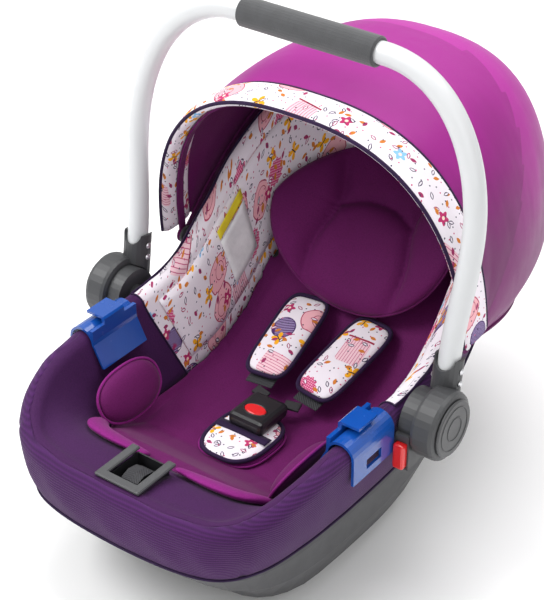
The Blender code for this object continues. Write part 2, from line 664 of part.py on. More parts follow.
def head_pillow():
    """The ring of the head pillow and the crowned cushion inside it."""
    turns = [2 * math.pi * i / PILLOW_STEPS for i in range(PILLOW_STEPS)]
    middle = (PILLOW_HALF[0] - PILLOW_TUBE, PILLOW_HALF[1] - PILLOW_TUBE)
    sections = []
    for turn in turns:
        centre = wrapped(turn, middle, 1, 0)
        outward = np.array([math.cos(turn), math.sin(turn), 0])
        ring = []
        for step in range(8):
            angle = 2 * math.pi * step / 8
            ring.append(centre + outward * PILLOW_TUBE * math.cos(angle)
                        + UP * PILLOW_FLATNESS * PILLOW_TUBE * math.sin(angle))
        sections.append(ring)
    mesh = loft("head_pillow_ring", sections, joined=True)
    add_part("head_pillow_ring", mesh, MAGENTA, pillow_frame())
    inside = [reach - PILLOW_TUBE - 5 * GAP for reach in middle]
    rings = []
    for face, shares in ((1, CUSHION_SHARES), (-1, CUSHION_SHARES[-2::-1])):
        for share in shares:
            rise = face * CUSHION_HALF_THICKNESS * math.sqrt(1 - share ** 2)
            rings.append([wrapped(turn, inside, share, rise) for turn in turns])
    mesh = loft("head_pillow_cushion", rings, capped=True)
    add_part("head_pillow_cushion", mesh, MAGENTA, pillow_frame())


def pad(name, look, start, end, width, thickness, up=(0, -0.3, 1), rounding=0.004):
    """A flat rounded pad or strap between two points."""
    start, end = Vector(start), Vector(end)
    length = (end - start).length
    mesh = box_mesh(name, (0, -width / 2, 0), (length, width / 2, thickness))
    obj = add_part(name, mesh, look, frame_at(start, end - start, up))
    round_edges(obj, rounding)
    return obj


def shoulder_harness():
    """The pads, straps and buckle tongues of the two shoulders."""
    for name, side in SIDES:
        top = Vector((side * PAD_TOP[0], PAD_TOP[1], PAD_TOP[2]))
        bottom = Vector((side * PAD_BOTTOM[0], PAD_BOTTOM[1], PAD_BOTTOM[2]))
        pad("shoulder_pad_" + name, PRINT, bottom, top, PAD_WIDTH, PAD_THICKNESS)
        run = (top - bottom).normalized()
        drop = Vector((0, 0, STRAP_THICKNESS + 3 * GAP))
        pad("shoulder_strap_" + name, WEBBING, bottom - run * STRAP_ENDS[0] - drop,
            top + run * STRAP_ENDS[1] - drop, STRAP_WIDTH, STRAP_THICKNESS, rounding=STRAP_ROUNDING)
        tongue_start = Vector((side * TONGUE_START[0], BUCKLE_FRONT_Y + BUCKLE_LENGTH + TONGUE_START[1],
                               BUCKLE_Z + TONGUE_START[2]))
        pad("buckle_tongue_" + name, BLACK, tongue_start, bottom - run * TONGUE_END - drop, *TONGUE_SIZE,
            rounding=SMALL_ROUNDING)


def crotch_harness():
    """The crotch strap under its two layers of padding."""
    strap_z = CROTCH_Z - STRAP_THICKNESS - 2 * GAP
    pad("crotch_strap", WEBBING, (0, CROTCH_BOTTOM_Y + CROTCH_STRAP_ENDS[0], strap_z),
        (0, CROTCH_TOP_Y + CROTCH_STRAP_ENDS[1], strap_z), STRAP_WIDTH, STRAP_THICKNESS,
        rounding=STRAP_ROUNDING)
    pad("crotch_pad_backing", VIOLET, (0, CROTCH_BOTTOM_Y + BACKING_INSET, CROTCH_Z),
        (0, CROTCH_TOP_Y, CROTCH_Z), BACKING_WIDTH, BACKING_THICKNESS, rounding=BACKING_ROUNDING)
    front_z = CROTCH_Z + BACKING_THICKNESS + GAP
    pad("crotch_pad", PRINT, (0, CROTCH_BOTTOM_Y, front_z), (0, CROTCH_TOP_Y, front_z), CROTCH_WIDTH,
        CROTCH_THICKNESS, rounding=CROTCH_ROUNDING)


def buckle():
    """The buckle's housing with its oval button, which presses straight down."""
    low = (-BUCKLE_WIDTH / 2, BUCKLE_FRONT_Y, BUCKLE_Z)
    high = (BUCKLE_WIDTH / 2, BUCKLE_FRONT_Y + BUCKLE_LENGTH, BUCKLE_Z + BUCKLE_THICKNESS)
    housing = add_part("buckle_housing", box_mesh("buckle_housing", low, high), BLACK)
    round_edges(housing, BUCKLE_ROUNDING, 2)
    middle = Vector((0, BUCKLE_FRONT_Y + BUCKLE_BUTTON_SETBACK, high[2]))
    well_depth = BUCKLE_TRAVEL + BUCKLE_WELL_ROOM
    for part_name, growth, low_z, high_z in (("buckle_well", GAP * 2, -well_depth, PAST),
                                             ("buckle_button", 0.0, *BUCKLE_BUTTON_HEIGHTS)):
        bm = bmesh.new()
        bmesh.ops.create_cone(bm, cap_ends=True, segments=24, radius1=1.0, radius2=1.0, depth=high_z - low_z)
        bmesh.ops.scale(bm, vec=(BUCKLE_BUTTON[0] + growth, BUCKLE_BUTTON[1] + growth, 1), verts=bm.verts)
        bmesh.ops.translate(bm, vec=(0, 0, (high_z + low_z) / 2), verts=bm.verts)
        mesh = finish_mesh(part_name, bm)
        if part_name == "buckle_well":
            combine(housing, add_cutter(part_name, mesh, Matrix.Translation(middle)), "DIFFERENCE")
        else:
            button = add_part(part_name, mesh, RED, Matrix.Translation(middle))
            round_edges(button, SMALL_ROUNDING)


# ---------------------------------------------------------------- harness adjuster in the foot end
def pit_cutter():
    """The hole for the adjuster's tray, cut through the cover's front pad and the pan."""
    low = (-PIT_HALF_X - GAP, PIT_FRONT_Y - GAP, PIT_BOTTOM_Z - GAP)
    high = (PIT_HALF_X + GAP, PIT_REAR_Y + GAP, PIT_CUT_TOP_Z)
    return add_cutter("pit_cutter", box_mesh("pit_cutter", low, high))


def adjuster():
    """The tray, bezel, lever, pin and strap of the harness adjuster."""
    tray = add_part("adjuster_tray", box_mesh("adjuster_tray", (-PIT_HALF_X, PIT_FRONT_Y, PIT_BOTTOM_Z),
                                              (PIT_HALF_X, PIT_REAR_Y, PIT_TOP_Z)), BLACK)
    half = PIT_HALF_X - TRAY_WALL
    inside = box_mesh("tray_inside", (-half, PIT_FRONT_Y + TRAY_WALL, PIT_BOTTOM_Z + TRAY_WALL),
                      (half, PIT_REAR_Y - TRAY_WALL, PIT_CUT_TOP_Z))
    combine(tray, add_cutter("tray_inside", inside), "DIFFERENCE")

    outside = box_mesh("adjuster_bezel", (-PIT_HALF_X - BEZEL_MARGIN, PIT_FRONT_Y - BEZEL_MARGIN, BEZEL_Z),
                       (PIT_HALF_X + BEZEL_MARGIN, PIT_REAR_Y + BEZEL_REAR, BEZEL_Z + BEZEL_THICKNESS))
    bezel = add_part("adjuster_bezel", outside, DARK_GREY)
    throat = box_mesh("bezel_throat", (-half, PIT_FRONT_Y + TRAY_WALL, BEZEL_Z - PAST),
                      (half, PIT_REAR_Y + 2 * PAST, BEZEL_Z + 2 * PAST))
    combine(bezel, add_cutter("bezel_throat", throat), "DIFFERENCE")
    round_edges(bezel, BEZEL_ROUNDING)

    pin = cylinder_mesh("adjuster_pin", LEVER_PIN_RADIUS, -half + GAP, half - GAP, 12)
    add_part("adjuster_pin", pin, STEEL, Matrix.Translation((0, *LEVER_PIN)))
    reach = LEVER_PIN[0] - PIT_FRONT_Y - TRAY_WALL - LEVER_FRONT_ROOM
    half_x, rear_y, half_z = LEVER_HALF
    body = box_mesh("adjuster_lever", (-half_x, -reach, -half_z), (half_x, rear_y, half_z))
    lever = add_part("adjuster_lever", body, DARK_GREY, Matrix.Translation((0, *LEVER_PIN)))
    bore = cylinder_mesh("lever_bore", LEVER_PIN_RADIUS + GAP, -CROSS_BORE_HALF, CROSS_BORE_HALF, 12)
    combine(lever, add_cutter("lever_bore", bore, Matrix.Translation((0, *LEVER_PIN))), "DIFFERENCE")

    rings = []
    for index, (y, z) in enumerate(ADJUSTER_ROUTE):
        before = ADJUSTER_ROUTE[max(index - 1, 0)]
        after = ADJUSTER_ROUTE[min(index + 1, len(ADJUSTER_ROUTE) - 1)]
        along = Vector((0, after[0] - before[0], after[1] - before[1])).normalized()
        out = Vector((0, -along.z, along.y)) * STRAP_THICKNESS / 2
        middle = Vector((0, y, z))
        across = Vector((ADJUSTER_STRAP_HALF, 0, 0))
        rings.append([middle + across + out, middle - across + out,
                      middle - across - out, middle + across - out])
    add_part("adjuster_strap", loft("adjuster_strap", rings, capped=True), WEBBING)


# ---------------------------------------------------------------- belt guides
def outline_mesh(name, points, depth):
    """A flat outline in the XZ plane with a thickness along Y, centred on y = 0."""
    curve = bpy.data.curves.new(name, "CURVE")
    curve.dimensions = "2D"
    curve.fill_mode = "BOTH"
    curve.extrude = depth / 2
    spline = curve.splines.new("POLY")
    spline.points.add(len(points) - 1)
    spline.use_cyclic_u = True
    for point, (x, z) in zip(spline.points, points):
        point.co = (x, z, 0, 1)
    holder = bpy.data.objects.new(name, curve)
    bpy.context.scene.collection.objects.link(holder)
    mesh = bpy.data.meshes.new_from_object(holder.evaluated_get(bpy.context.evaluated_depsgraph_get()))
    bpy.data.objects.remove(holder, do_unlink=True)
    bm = bmesh.new()
    bm.from_mesh(mesh)
    bmesh.ops.rotate(bm, cent=(0, 0, 0), matrix=Matrix.Rotation(math.pi / 2, 3, "X"), verts=bm.verts)
    return finish_mesh(name, bm)


def belt_guides():
    """The two clips that straddle the rim and guide the vehicle's belt."""
    middle_x, middle_z = GUIDE_CREST[0], GUIDE_CREST[1] - RIM_ROLL
    inner = RIM_ROLL + GUIDE_CLEARANCE
    outer = inner + GUIDE_WALL
    angles = [math.radians(a) for a in range(0, 181, 15)]
    arch_out = [(middle_x + outer * math.cos(a), middle_z + outer * math.sin(a)) for a in angles]
    arch_in = [(middle_x + inner * math.cos(a), middle_z + inner * math.sin(a)) for a in reversed(angles)]
    run_x, run_z = GUIDE_INNER_RUN
    hook_top = middle_z + outer + HOOK_RISE
    stem_right, stem_left = arch_out[HOOK_STEM[0]], arch_out[HOOK_STEM[1]]
    tip_x = middle_x + HOOK_REACH
    hook = [(stem_right[0], hook_top - GUIDE_WALL), (tip_x, hook_top - GUIDE_WALL), (tip_x, hook_top),
            (stem_left[0] + HOOK_TIP, hook_top), (stem_left[0], hook_top - HOOK_TIP)]
    points = [(middle_x + outer, middle_z - GUIDE_OUTER_DROP)] + arch_out[:HOOK_STEM[0] + 1] + hook
    points += arch_out[HOOK_STEM[1]:]
    points += [(arch_out[-1][0] + run_x, middle_z + run_z), (arch_in[0][0] + run_x, middle_z + run_z)]
    points += arch_in + [(middle_x + inner, middle_z - GUIDE_OUTER_DROP)]
    half = (GUIDE_REAR_Y - GUIDE_FRONT_Y) / 2
    place_y = (GUIDE_REAR_Y + GUIDE_FRONT_Y) / 2
    for name, side in SIDES:
        clip = mirrored(outline_mesh("belt_guide_" + name, points, 2 * half), side)
        place = Matrix.Translation((0, place_y, 0))
        guide = add_part("belt_guide_" + name, clip, BLUE, place)
        ends_y = (("front", -half - PAST, -HOOK_HALF_LENGTH), ("rear", HOOK_HALF_LENGTH, half + PAST))
        for end, low_y, high_y in ends_y:
            trim = box_mesh("hook_trim", (side * middle_x - HOOK_TRIM_HALF_X, low_y, middle_z + outer + GAP),
                            (side * middle_x + HOOK_TRIM_HALF_X, high_y, hook_top + PAST))
            combine(guide, add_cutter("hook_trim_%s_%s" % (end, name), trim, place), "DIFFERENCE")
        slot = box_mesh("guide_slot_" + name, (side * (middle_x + inner / 2), -SLOT_HALF_LENGTH,
                                                  middle_z - SLOT_DROPS[0]),
                        (side * (middle_x + 2 * outer), SLOT_HALF_LENGTH, middle_z - SLOT_DROPS[1]))
        combine(guide, add_cutter("guide_slot_" + name, slot, place), "DIFFERENCE")


# ---------------------------------------------------------------- hubs and handle
def at_hub(side, mesh):
    """A mesh drawn about the axis on the right side, placed on its own side."""
    return mirrored(mesh, side), Matrix.Translation((0, 0, HUB_Z))


def hub_cutter(name, side, mesh):
    """A cutter drawn about the axis."""
    shape, place = at_hub(side, mesh)
    return add_cutter(name, shape, place)


def hub_housing(name, side):
    """The fixed half of a hub: a round block with a boss into the shell and a pocket for the button."""
    body, place = at_hub(side, cylinder_mesh("hub_housing_" + name, HOUSING_RADIUS, HOUSING_INNER_X,
                                             HOUSING_OUTER_X, 32))
    housing = add_part("hub_housing_" + name, body, PLASTIC_GREY, place)
    foot_bottom = -BUTTON_DROP - BUTTON_HEIGHT / 2 - FOOT_WALL
    foot = box_mesh("housing_foot", (HOUSING_INNER_X, BUTTON_FRONT_Y, foot_bottom),
                    (HOUSING_OUTER_X, 0.0, -BOLT_RADIUS))
    combine(housing, hub_cutter("housing_foot_" + name, side, foot), "UNION")
    boss = cylinder_mesh("housing_boss", BOSS_RADIUS, BOSS_INNER_X, HOUSING_INNER_X + HUB_MERGE, 28)
    combine(housing, hub_cutter("housing_boss_" + name, side, boss), "UNION")
    bore = cylinder_mesh("housing_bore", BOLT_RADIUS + GAP, BORE_START_X, BORE_FAR_X, 20)
    combine(housing, hub_cutter("housing_bore_" + name, side, bore), "DIFFERENCE")
    gear_well = cylinder_mesh("gear_well", GEAR_RADIUS + 2 * GAP, POCKET_FLOOR_X, BORE_FAR_X, 28)
    combine(housing, hub_cutter("gear_well_" + name, side, gear_well), "DIFFERENCE")
    half_x = BUTTON_WIDTH / 2 + GAP
    half_z = BUTTON_HEIGHT / 2 + GAP
    pocket = box_mesh("button_pocket", (BUTTON_MIDDLE_X - half_x, -DRUM_RADIUS * 2, -BUTTON_DROP - half_z),
                      (BUTTON_MIDDLE_X + half_x, POCKET_REAR_Y, -BUTTON_DROP + half_z))
    combine(housing, hub_cutter("button_pocket_" + name, side, pocket), "DIFFERENCE")


def release_button(name, side):
    """The red button that frees the handle, with the coil spring behind it."""
    front = BUTTON_FRONT_Y - BUTTON_PROUD
    rear = front + BUTTON_DEPTH
    half_x, half_z = BUTTON_WIDTH / 2, BUTTON_HEIGHT / 2
    body = box_mesh("release_button_" + name, (BUTTON_MIDDLE_X - half_x, front, -BUTTON_DROP - half_z),
                    (BUTTON_MIDDLE_X + half_x, rear, -BUTTON_DROP + half_z))
    shape, place = at_hub(side, body)
    button = add_part("release_button_" + name, shape, RED, place)
    round_edges(button, BUTTON_ROUNDING, 2)
    start = rear + SPRING_WIRE + GAP
    end = POCKET_REAR_Y - SPRING_WIRE - GAP
    steps = SPRING_TURNS * 8
    coil = []
    for i in range(steps + 1):
        angle = 2 * math.pi * i / 8
        coil.append((BUTTON_MIDDLE_X + SPRING_RADIUS * math.cos(angle), start + (end - start) * i / steps,
                     -BUTTON_DROP + SPRING_RADIUS * math.sin(angle)))
    shape, place = at_hub(side, tube_mesh("button_spring_" + name, coil, SPRING_WIRE, 1))
    add_part("button_spring_" + name, shape, STEEL, place)


def lock_gear(name, side):
    """The toothed ring on the drum that the lock engages."""
    rings = []
    for x in (POCKET_FLOOR_X + GAP, POCKET_FLOOR_X + GAP + GEAR_THICKNESS):
        ring = []
        for i in range(GEAR_TEETH):
            for offset, radius in ((0.0, GEAR_RADIUS - GEAR_TOOTH), (0.2, GEAR_RADIUS), (0.5, GEAR_RADIUS),
                                   (0.7, GEAR_RADIUS - GEAR_TOOTH)):
                angle = 2 * math.pi * (i + offset) / GEAR_TEETH
                ring.append((x, radius * math.cos(angle), radius * math.sin(angle)))
        rings.append(ring)
    shape, place = at_hub(side, loft("lock_gear_" + name, rings, capped=True))
    gear = add_part("lock_gear_" + name, shape, BLACK, place)
    bore = cylinder_mesh("gear_bore", BOLT_RADIUS + GAP, BORE_START_X, BORE_FAR_X, 20)
    combine(gear, hub_cutter("gear_bore_" + name, side, bore), "DIFFERENCE")


def pivot_bolt(name, side):
    """The bolt on which the handle turns."""
    shank = cylinder_mesh("pivot_bolt_" + name, BOLT_RADIUS, 0.1785, BOLT_END_X, 20)
    shape, place = at_hub(side, shank)
    bolt = add_part("pivot_bolt_" + name, shape, STEEL, place)
    head = cylinder_mesh("bolt_head", BOLT_HEAD_RADIUS, 0.1762, 0.1790, 6)
    combine(bolt, hub_cutter("bolt_head_" + name, side, head), "UNION")


def leg_point(height, x=None):
    """A point of a handle leg's centre line, at a height along the leg above the axis."""
    return Vector((LEG_X if x is None else x, HANDLE_SETBACK + height * math.sin(HANDLE_LEAN),
                   HUB_Z + height * math.cos(HANDLE_LEAN)))


LEG_ALONG = Vector((0, math.sin(HANDLE_LEAN), math.cos(HANDLE_LEAN)))


def leg_frame(height, side):
    """A frame on a leg whose X axis runs up the leg."""
    point = leg_point(height)
    point.x *= side
    return frame_at(point, LEG_ALONG, (1, 0, 0))


def handle_socket(name, side):
    """The moving half of a hub: the drum with the sleeve that holds a leg of the handle."""
    drum = cylinder_mesh("handle_socket_" + name, DRUM_RADIUS, DRUM_INNER_X, DRUM_OUTER_X, 32)
    body, place = at_hub(side, drum)
    socket = add_part("handle_socket_" + name, body, PLASTIC_GREY, place)
    round_edges(socket, DRUM_ROUNDING, 2, 60)
    sleeve = cylinder_mesh("socket_sleeve", SOCKET_RADIUS, SLEEVE_START, SOCKET_TOP, 20)
    combine(socket, add_cutter("socket_sleeve_" + name, sleeve, leg_frame(0, side)), "UNION")
    clearance = cylinder_mesh("socket_clearance", HOUSING_RADIUS + HOUSING_ROOM,
                              BORE_START_X, DRUM_INNER_X, 36)
    combine(socket, hub_cutter("socket_clearance_" + name, side, clearance), "DIFFERENCE")
    bore = cylinder_mesh("socket_bore", TUBE_RADIUS + 2 * GAP, TUBE_END - GAP, 0.2, 20)
    combine(socket, add_cutter("socket_bore_" + name, bore, leg_frame(0, side)), "DIFFERENCE")
    saddle = cylinder_mesh("socket_saddle", SADDLE_RADIUS, -CROSS_BORE_HALF, CROSS_BORE_HALF, 20)
    middle = leg_point(SOCKET_TOP + SADDLE_LIFT)
    middle.x *= side
    saddle_frame = frame_at(middle, (0, 1, 0), (0, 0, 1))
    combine(socket, add_cutter("socket_saddle_" + name, saddle, saddle_frame), "DIFFERENCE")
    bolt_bore = cylinder_mesh("drum_bore", BOLT_RADIUS + GAP, BORE_START_X, BOLT_END_X + GAP, 20)
    combine(socket, hub_cutter("drum_bore_" + name, side, bolt_bore), "DIFFERENCE")
    for index, height in enumerate(RIVET_HEIGHTS):
        hole = cylinder_mesh("rivet_hole", RIVET_RADIUS + GAP, -CROSS_BORE_HALF, CROSS_BORE_HALF, 10)
        point = leg_point(height)
        place = Matrix.Translation((side * point.x, point.y, point.z))
        combine(socket, add_cutter("rivet_hole_%s_%d" % (name, index), hole, place), "DIFFERENCE")
    return socket


def hub_cap(name, side):
    """The plain round cover on the outside of a drum."""
    start = DRUM_OUTER_X + GAP
    disc = cylinder_mesh("hub_cap_" + name, CAP_RADIUS, start, start + CAP_THICKNESS, 32)
    shape, place = at_hub(side, disc)
    cap = add_part("hub_cap_" + name, shape, DARK_GREY, place)
    round_edges(cap, CAP_ROUNDING)


def rivets(name, side):
    """The rivets that hold a leg of the handle in its sleeve."""
    reach = SOCKET_RADIUS + GAP
    half = ((RIVET_RADIUS, reach), (RIVET_HEAD_RADIUS, reach),
            (RIVET_HEAD_RADIUS * 0.7, reach + RIVET_HEAD_HEIGHT * 0.8), (0, reach + RIVET_HEAD_HEIGHT))
    outline = [(-x, radius) for radius, x in reversed(half)] + [(x, radius) for radius, x in half]
    for place_name, height in zip(("lower", "upper"), RIVET_HEIGHTS):
        point = leg_point(height)
        place = Matrix.Translation((side * point.x, point.y, point.z))
        turned_part("rivet_%s_%s" % (name, place_name), outline, STEEL, place, 10)


def handle_path():
    """The centre line of the bent handle tube, from the left leg's end over the grip to the right one."""
    half_grip = GRIP_LENGTH / 2 + GRIP_END_ROOM
    corner_start = HANDLE_REACH - CORNER_HEIGHT
    path = [(LEG_X, TUBE_END), (LEG_X, SOCKET_TOP)]
    for step in range(1, LEG_STEPS + 1):
        t = step / LEG_STEPS
        ease = t * t * (3 - 2 * t)
        path.append((LEG_X + (LEG_BOW_X - LEG_X) * ease, SOCKET_TOP + (corner_start - SOCKET_TOP) * t))
    for step in range(1, CORNER_STEPS + 1):
        turn = math.pi / 2 * step / CORNER_STEPS
        path.append((half_grip + (LEG_BOW_X - half_grip) * max(math.cos(turn), 0.0) ** CORNER_POWERS[0],
                     corner_start + CORNER_HEIGHT * math.sin(turn) ** CORNER_POWERS[1]))
    right = [leg_point(height, x) for x, height in path]
    left = [Vector((-p.x, p.y, p.z)) for p in right]
    return left + right[::-1]


def pipe(name, path, outer, inner, sides):
    """A hollow tube with open ends, swept along a path in one plane."""
    plane_normal = Vector((0, math.cos(HANDLE_LEAN), -math.sin(HANDLE_LEAN)))
    rings = []
    for index, middle in enumerate(path):
        before = path[max(index - 1, 0)]
        after = path[min(index + 1, len(path) - 1)]
        along = (after - before).normalized()
        across = along.cross(plane_normal).normalized()
        rings.append([[middle + (across * math.cos(2 * math.pi * k / sides)
                                 + plane_normal * math.sin(2 * math.pi * k / sides)) * radius
                       for k in range(sides)] for radius in (outer, inner)])
    skins = [ring[0] for ring in rings] + [ring[1] for ring in reversed(rings)]
    return loft(name, skins, joined=True)


def handle_tube():
    """The bent aluminium handle."""
    mesh = pipe("handle_tube", handle_path(), TUBE_RADIUS, TUBE_RADIUS - TUBE_WALL, 12)
    tube = add_part("handle_tube", mesh, ALUMINIUM)
    for name, side in SIDES:
        for index, height in enumerate(RIVET_HEIGHTS):
            hole = cylinder_mesh("tube_hole", RIVET_RADIUS + GAP, -CROSS_BORE_HALF, CROSS_BORE_HALF, 10)
            point = leg_point(height)
            place = Matrix.Translation((side * point.x, point.y, point.z))
            combine(tube, add_cutter("tube_hole_%s_%d" % (name, index), hole, place), "DIFFERENCE")


def handle_grip():
    """The foam sleeve on the straight top of the handle."""
    half = GRIP_LENGTH / 2
    bore = TUBE_RADIUS + GAP
    outline = ((-half, bore), (-half, GRIP_RADIUS - GRIP_ROUNDING), (-half + GRIP_ROUNDING, GRIP_RADIUS),
               (half - GRIP_ROUNDING, GRIP_RADIUS), (half, GRIP_RADIUS - GRIP_ROUNDING), (half, bore))
    turned_part("handle_grip", outline, FOAM, Matrix.Translation(leg_point(HANDLE_REACH, 0.0)), 28)


# ---------------------------------------------------------------- canopy
def arch_points(reach, half_width, start, count):
    """Points of an arch in the XY plane: x across the seat and y out from the pivot line."""
    points = []
    for i in range(count + 1):
        turn = start + (math.pi - 2 * start) * i / count
        cosine, sine = math.cos(turn), math.sin(turn)
        x = math.copysign(abs(cosine) ** (2 / ARCH_POWER), cosine) * half_width
        points.append((x, reach * sine ** (2 / ARCH_POWER)))
    return points


def canopy_point(x, reach, angle, sideways=0.0):
    """A point of the canopy from its place in an arch that leans by an angle from upright."""
    return Vector((x, CANOPY_Y + reach * math.sin(angle) + sideways * math.cos(angle),
                   CANOPY_Z + reach * math.cos(angle) - sideways * math.sin(angle)))


def arch_strip(name, angle, reach, half_width, width, thickness, start, count):
    """A strip bent along an arch, with a rectangular section."""
    outer = arch_points(reach + thickness / 2, half_width + thickness / 2, start, count)
    inner = arch_points(reach - thickness / 2, half_width - thickness / 2, start, count)
    rings = []
    for (outer_x, outer_r), (inner_x, inner_r) in zip(outer, inner):
        corners = ((outer_x, outer_r, -1), (outer_x, outer_r, 1),
                   (inner_x, inner_r, 1), (inner_x, inner_r, -1))
        rings.append([canopy_point(x, r, angle, end * width / 2) for x, r, end in corners])
    return loft(name, rings, capped=True)


def canopy_bow(name, angle, reach, ear_x, look):
    """A flat bow whose ears turn on the canopy's pins."""
    half_width = ear_x + EAR_THICKNESS / 2
    strip = arch_strip(name, angle, reach, half_width, BOW_WIDTH, EAR_THICKNESS, BOW_START, BOW_STEPS)
    bow = add_part(name, strip, look)
    pivot = Matrix.Translation((0, CANOPY_Y, CANOPY_Z))
    for side_name, side in SIDES:
        ear = cylinder_mesh("bow_ear", EAR_RADIUS, ear_x, ear_x + EAR_THICKNESS, 18)
        combine(bow, add_cutter("%s_ear_%s" % (name, side_name), mirrored(ear, side), pivot), "UNION")
        hole = cylinder_mesh("ear_hole", PIN_RADIUS + GAP, ear_x - PAST, ear_x + PAST, 12)
        combine(bow, add_cutter("%s_hole_%s" % (name, side_name), mirrored(hole, side), pivot), "DIFFERENCE")


def canopy_band():
    """The padded printed band along the canopy's front edge."""
    outer, middle, inner = (arch_points(BAND_REACH + offset, BAND_X + offset, BAND_START, BAND_STEPS)
                            for offset in (BAND_THICKNESS / 2, 0, -BAND_THICKNESS / 2))
    half = BAND_WIDTH / 2
    flat = BAND_FLAT * half
    rings = []
    for (outer_x, outer_r), (middle_x, middle_r), (inner_x, inner_r) in zip(outer, middle, inner):
        section = ((outer_x, outer_r, -flat), (outer_x, outer_r, flat), (middle_x, middle_r, half),
                   (inner_x, inner_r, flat), (inner_x, inner_r, -flat), (middle_x, middle_r, -half))
        rings.append([canopy_point(x, r, BAND_ANGLE, sideways) for x, r, sideways in section])
    add_part("canopy_band", loft("canopy_band", rings, capped=True), PRINT)


def canopy_fabric():
    """The cloth hood from the band back to its hem under the head end."""
    rings = []
    for degrees, reach, half_width, setback in CANOPY_ROWS:
        angle = math.radians(degrees)
        outer = arch_points(reach, half_width, FABRIC_START, FABRIC_STEPS)
        inner = arch_points(reach - FABRIC_THICKNESS, half_width - FABRIC_THICKNESS,
                            FABRIC_START, FABRIC_STEPS)
        rings.append([canopy_point(x, r, angle, setback) for x, r in outer]
                     + [canopy_point(x, r, angle, setback) for x, r in reversed(inner)])
    return add_part("canopy_fabric", loft("canopy_fabric", rings, capped=True), SATIN)


def canopy_fittings(name, side):
    """The bracket on the shell and the pin that carries the bows."""
    pivot = Matrix.Translation((0, CANOPY_Y, CANOPY_Z))
    plate = cylinder_mesh("canopy_bracket_" + name, BRACKET_RADIUS, BRACKET_X,
                          BRACKET_X + BRACKET_THICKNESS, 20)
    bracket = add_part("canopy_bracket_" + name, mirrored(plate, side), DARK_GREY, pivot)
    hole = mirrored(cylinder_mesh("bracket_hole", PIN_RADIUS + GAP, BORE_START_X, BORE_FAR_X, 12), side)
    combine(bracket, add_cutter("bracket_hole_" + name, hole, pivot), "DIFFERENCE")
    shank = cylinder_mesh("canopy_pin_" + name, PIN_RADIUS, BRACKET_X, PIN_HEAD_X + GAP, 12)
    pin = add_part("canopy_pin_" + name, mirrored(shank, side), STEEL, pivot)
    head = mirrored(cylinder_mesh("pin_head", PIN_HEAD_RADIUS, PIN_HEAD_X,
                                  PIN_HEAD_X + PIN_HEAD_THICKNESS, 14), side)
    combine(pin, add_cutter("pin_head_" + name, head, pivot), "UNION")


def harness_yoke():
    """The steel plate under the seat pan that joins the shoulder straps to the adjuster strap."""
    plate = box_mesh("harness_yoke", YOKE_LOW, YOKE_HIGH)
    yoke = add_part("harness_yoke", plate, STEEL)
    round_edges(yoke, SMALL_ROUNDING)


# ---------------------------------------------------------------- assembly
shell = carrier_shell()
pan = seat_pan()
cover = seat_cover()
side_liner()
seat_insert()
thigh_wings()
head_pillow()
shoulder_harness()
crotch_harness()
buckle()
pit = pit_cutter()
combine(cover, pit, "DIFFERENCE")
combine(pan, pit, "DIFFERENCE")
adjuster()
belt_guides()
handle_tube()
handle_grip()
canopy_band()
canopy_bow("canopy_front_bow", BAND_ANGLE, FRONT_BOW_REACH, FRONT_EAR_X, BLACK)
canopy_bow("canopy_mid_bow", MID_BOW_ANGLE, MID_BOW_REACH, MID_EAR_X, BLACK)
hood = canopy_fabric()
harness_yoke()
for side_name, side_sign in SIDES:
    hub_housing(side_name, side_sign)
    release_button(side_name, side_sign)
    lock_gear(side_name, side_sign)
    pivot_bolt(side_name, side_sign)
    handle_socket(side_name, side_sign)
    hub_cap(side_name, side_sign)
    rivets(side_name, side_sign)
    canopy_fittings(side_name, side_sign)
    boss_hole = cylinder_mesh("boss_hole", BOSS_RADIUS + GAP, 0.1750, 0.2000, 28)
    for target in (shell, cover):
        cutter = hub_cutter("boss_hole_%s_%s" % (target.name, side_name), side_sign, boss_hole)
        combine(target, cutter, "DIFFERENCE")


# ---------------------------------------------------------------- turning axes and origin
def hang_on(name, place, part_names):
    """Hang parts on an empty that stands on their turning axis."""
    axis = bpy.data.objects.new(name, None)
    PARTS.objects.link(axis)
    axis.location = place
    axis.empty_display_size = DRUM_RADIUS
    bpy.context.view_layer.update()
    for part_name in part_names:
        part = bpy.data.objects[part_name]
        part.parent = axis
        part.matrix_parent_inverse = axis.matrix_world.inverted()


HANDLE_PARTS = ["handle_tube", "handle_grip"]
for side_name, side_sign in SIDES:
    HANDLE_PARTS += ["handle_socket_" + side_name, "hub_cap_" + side_name, "lock_gear_" + side_name,
                     "rivet_%s_lower" % side_name, "rivet_%s_upper" % side_name]
hang_on("handle_axis", (0, 0, HUB_Z), HANDLE_PARTS)
hang_on("canopy_axis", (0, CANOPY_Y, CANOPY_Z), ["canopy_band", "canopy_front_bow", "canopy_mid_bow"])

ends = [(obj.matrix_world @ Vector(corner)).y for obj in (cover, hood) for corner in obj.bound_box]
to_footprint = Matrix.Translation((0, -(min(ends) + max(ends)) / 2, 0))
for obj in list(PARTS.objects) + list(CUTTERS.objects):
    if obj.parent is None:
        obj.matrix_world = to_footprint @ obj.matrix_world
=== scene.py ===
# %% [markdown]
# # An infant car seat
# The hard parts come from the measured model. This lesson dresses them: padding, printed cloth, a stretched
# sun hood, and a procedural finish for every surface.
# %% Load the measured model
import json
import math

import bmesh
import bpy
import numpy as np
from mathutils import Matrix, Vector


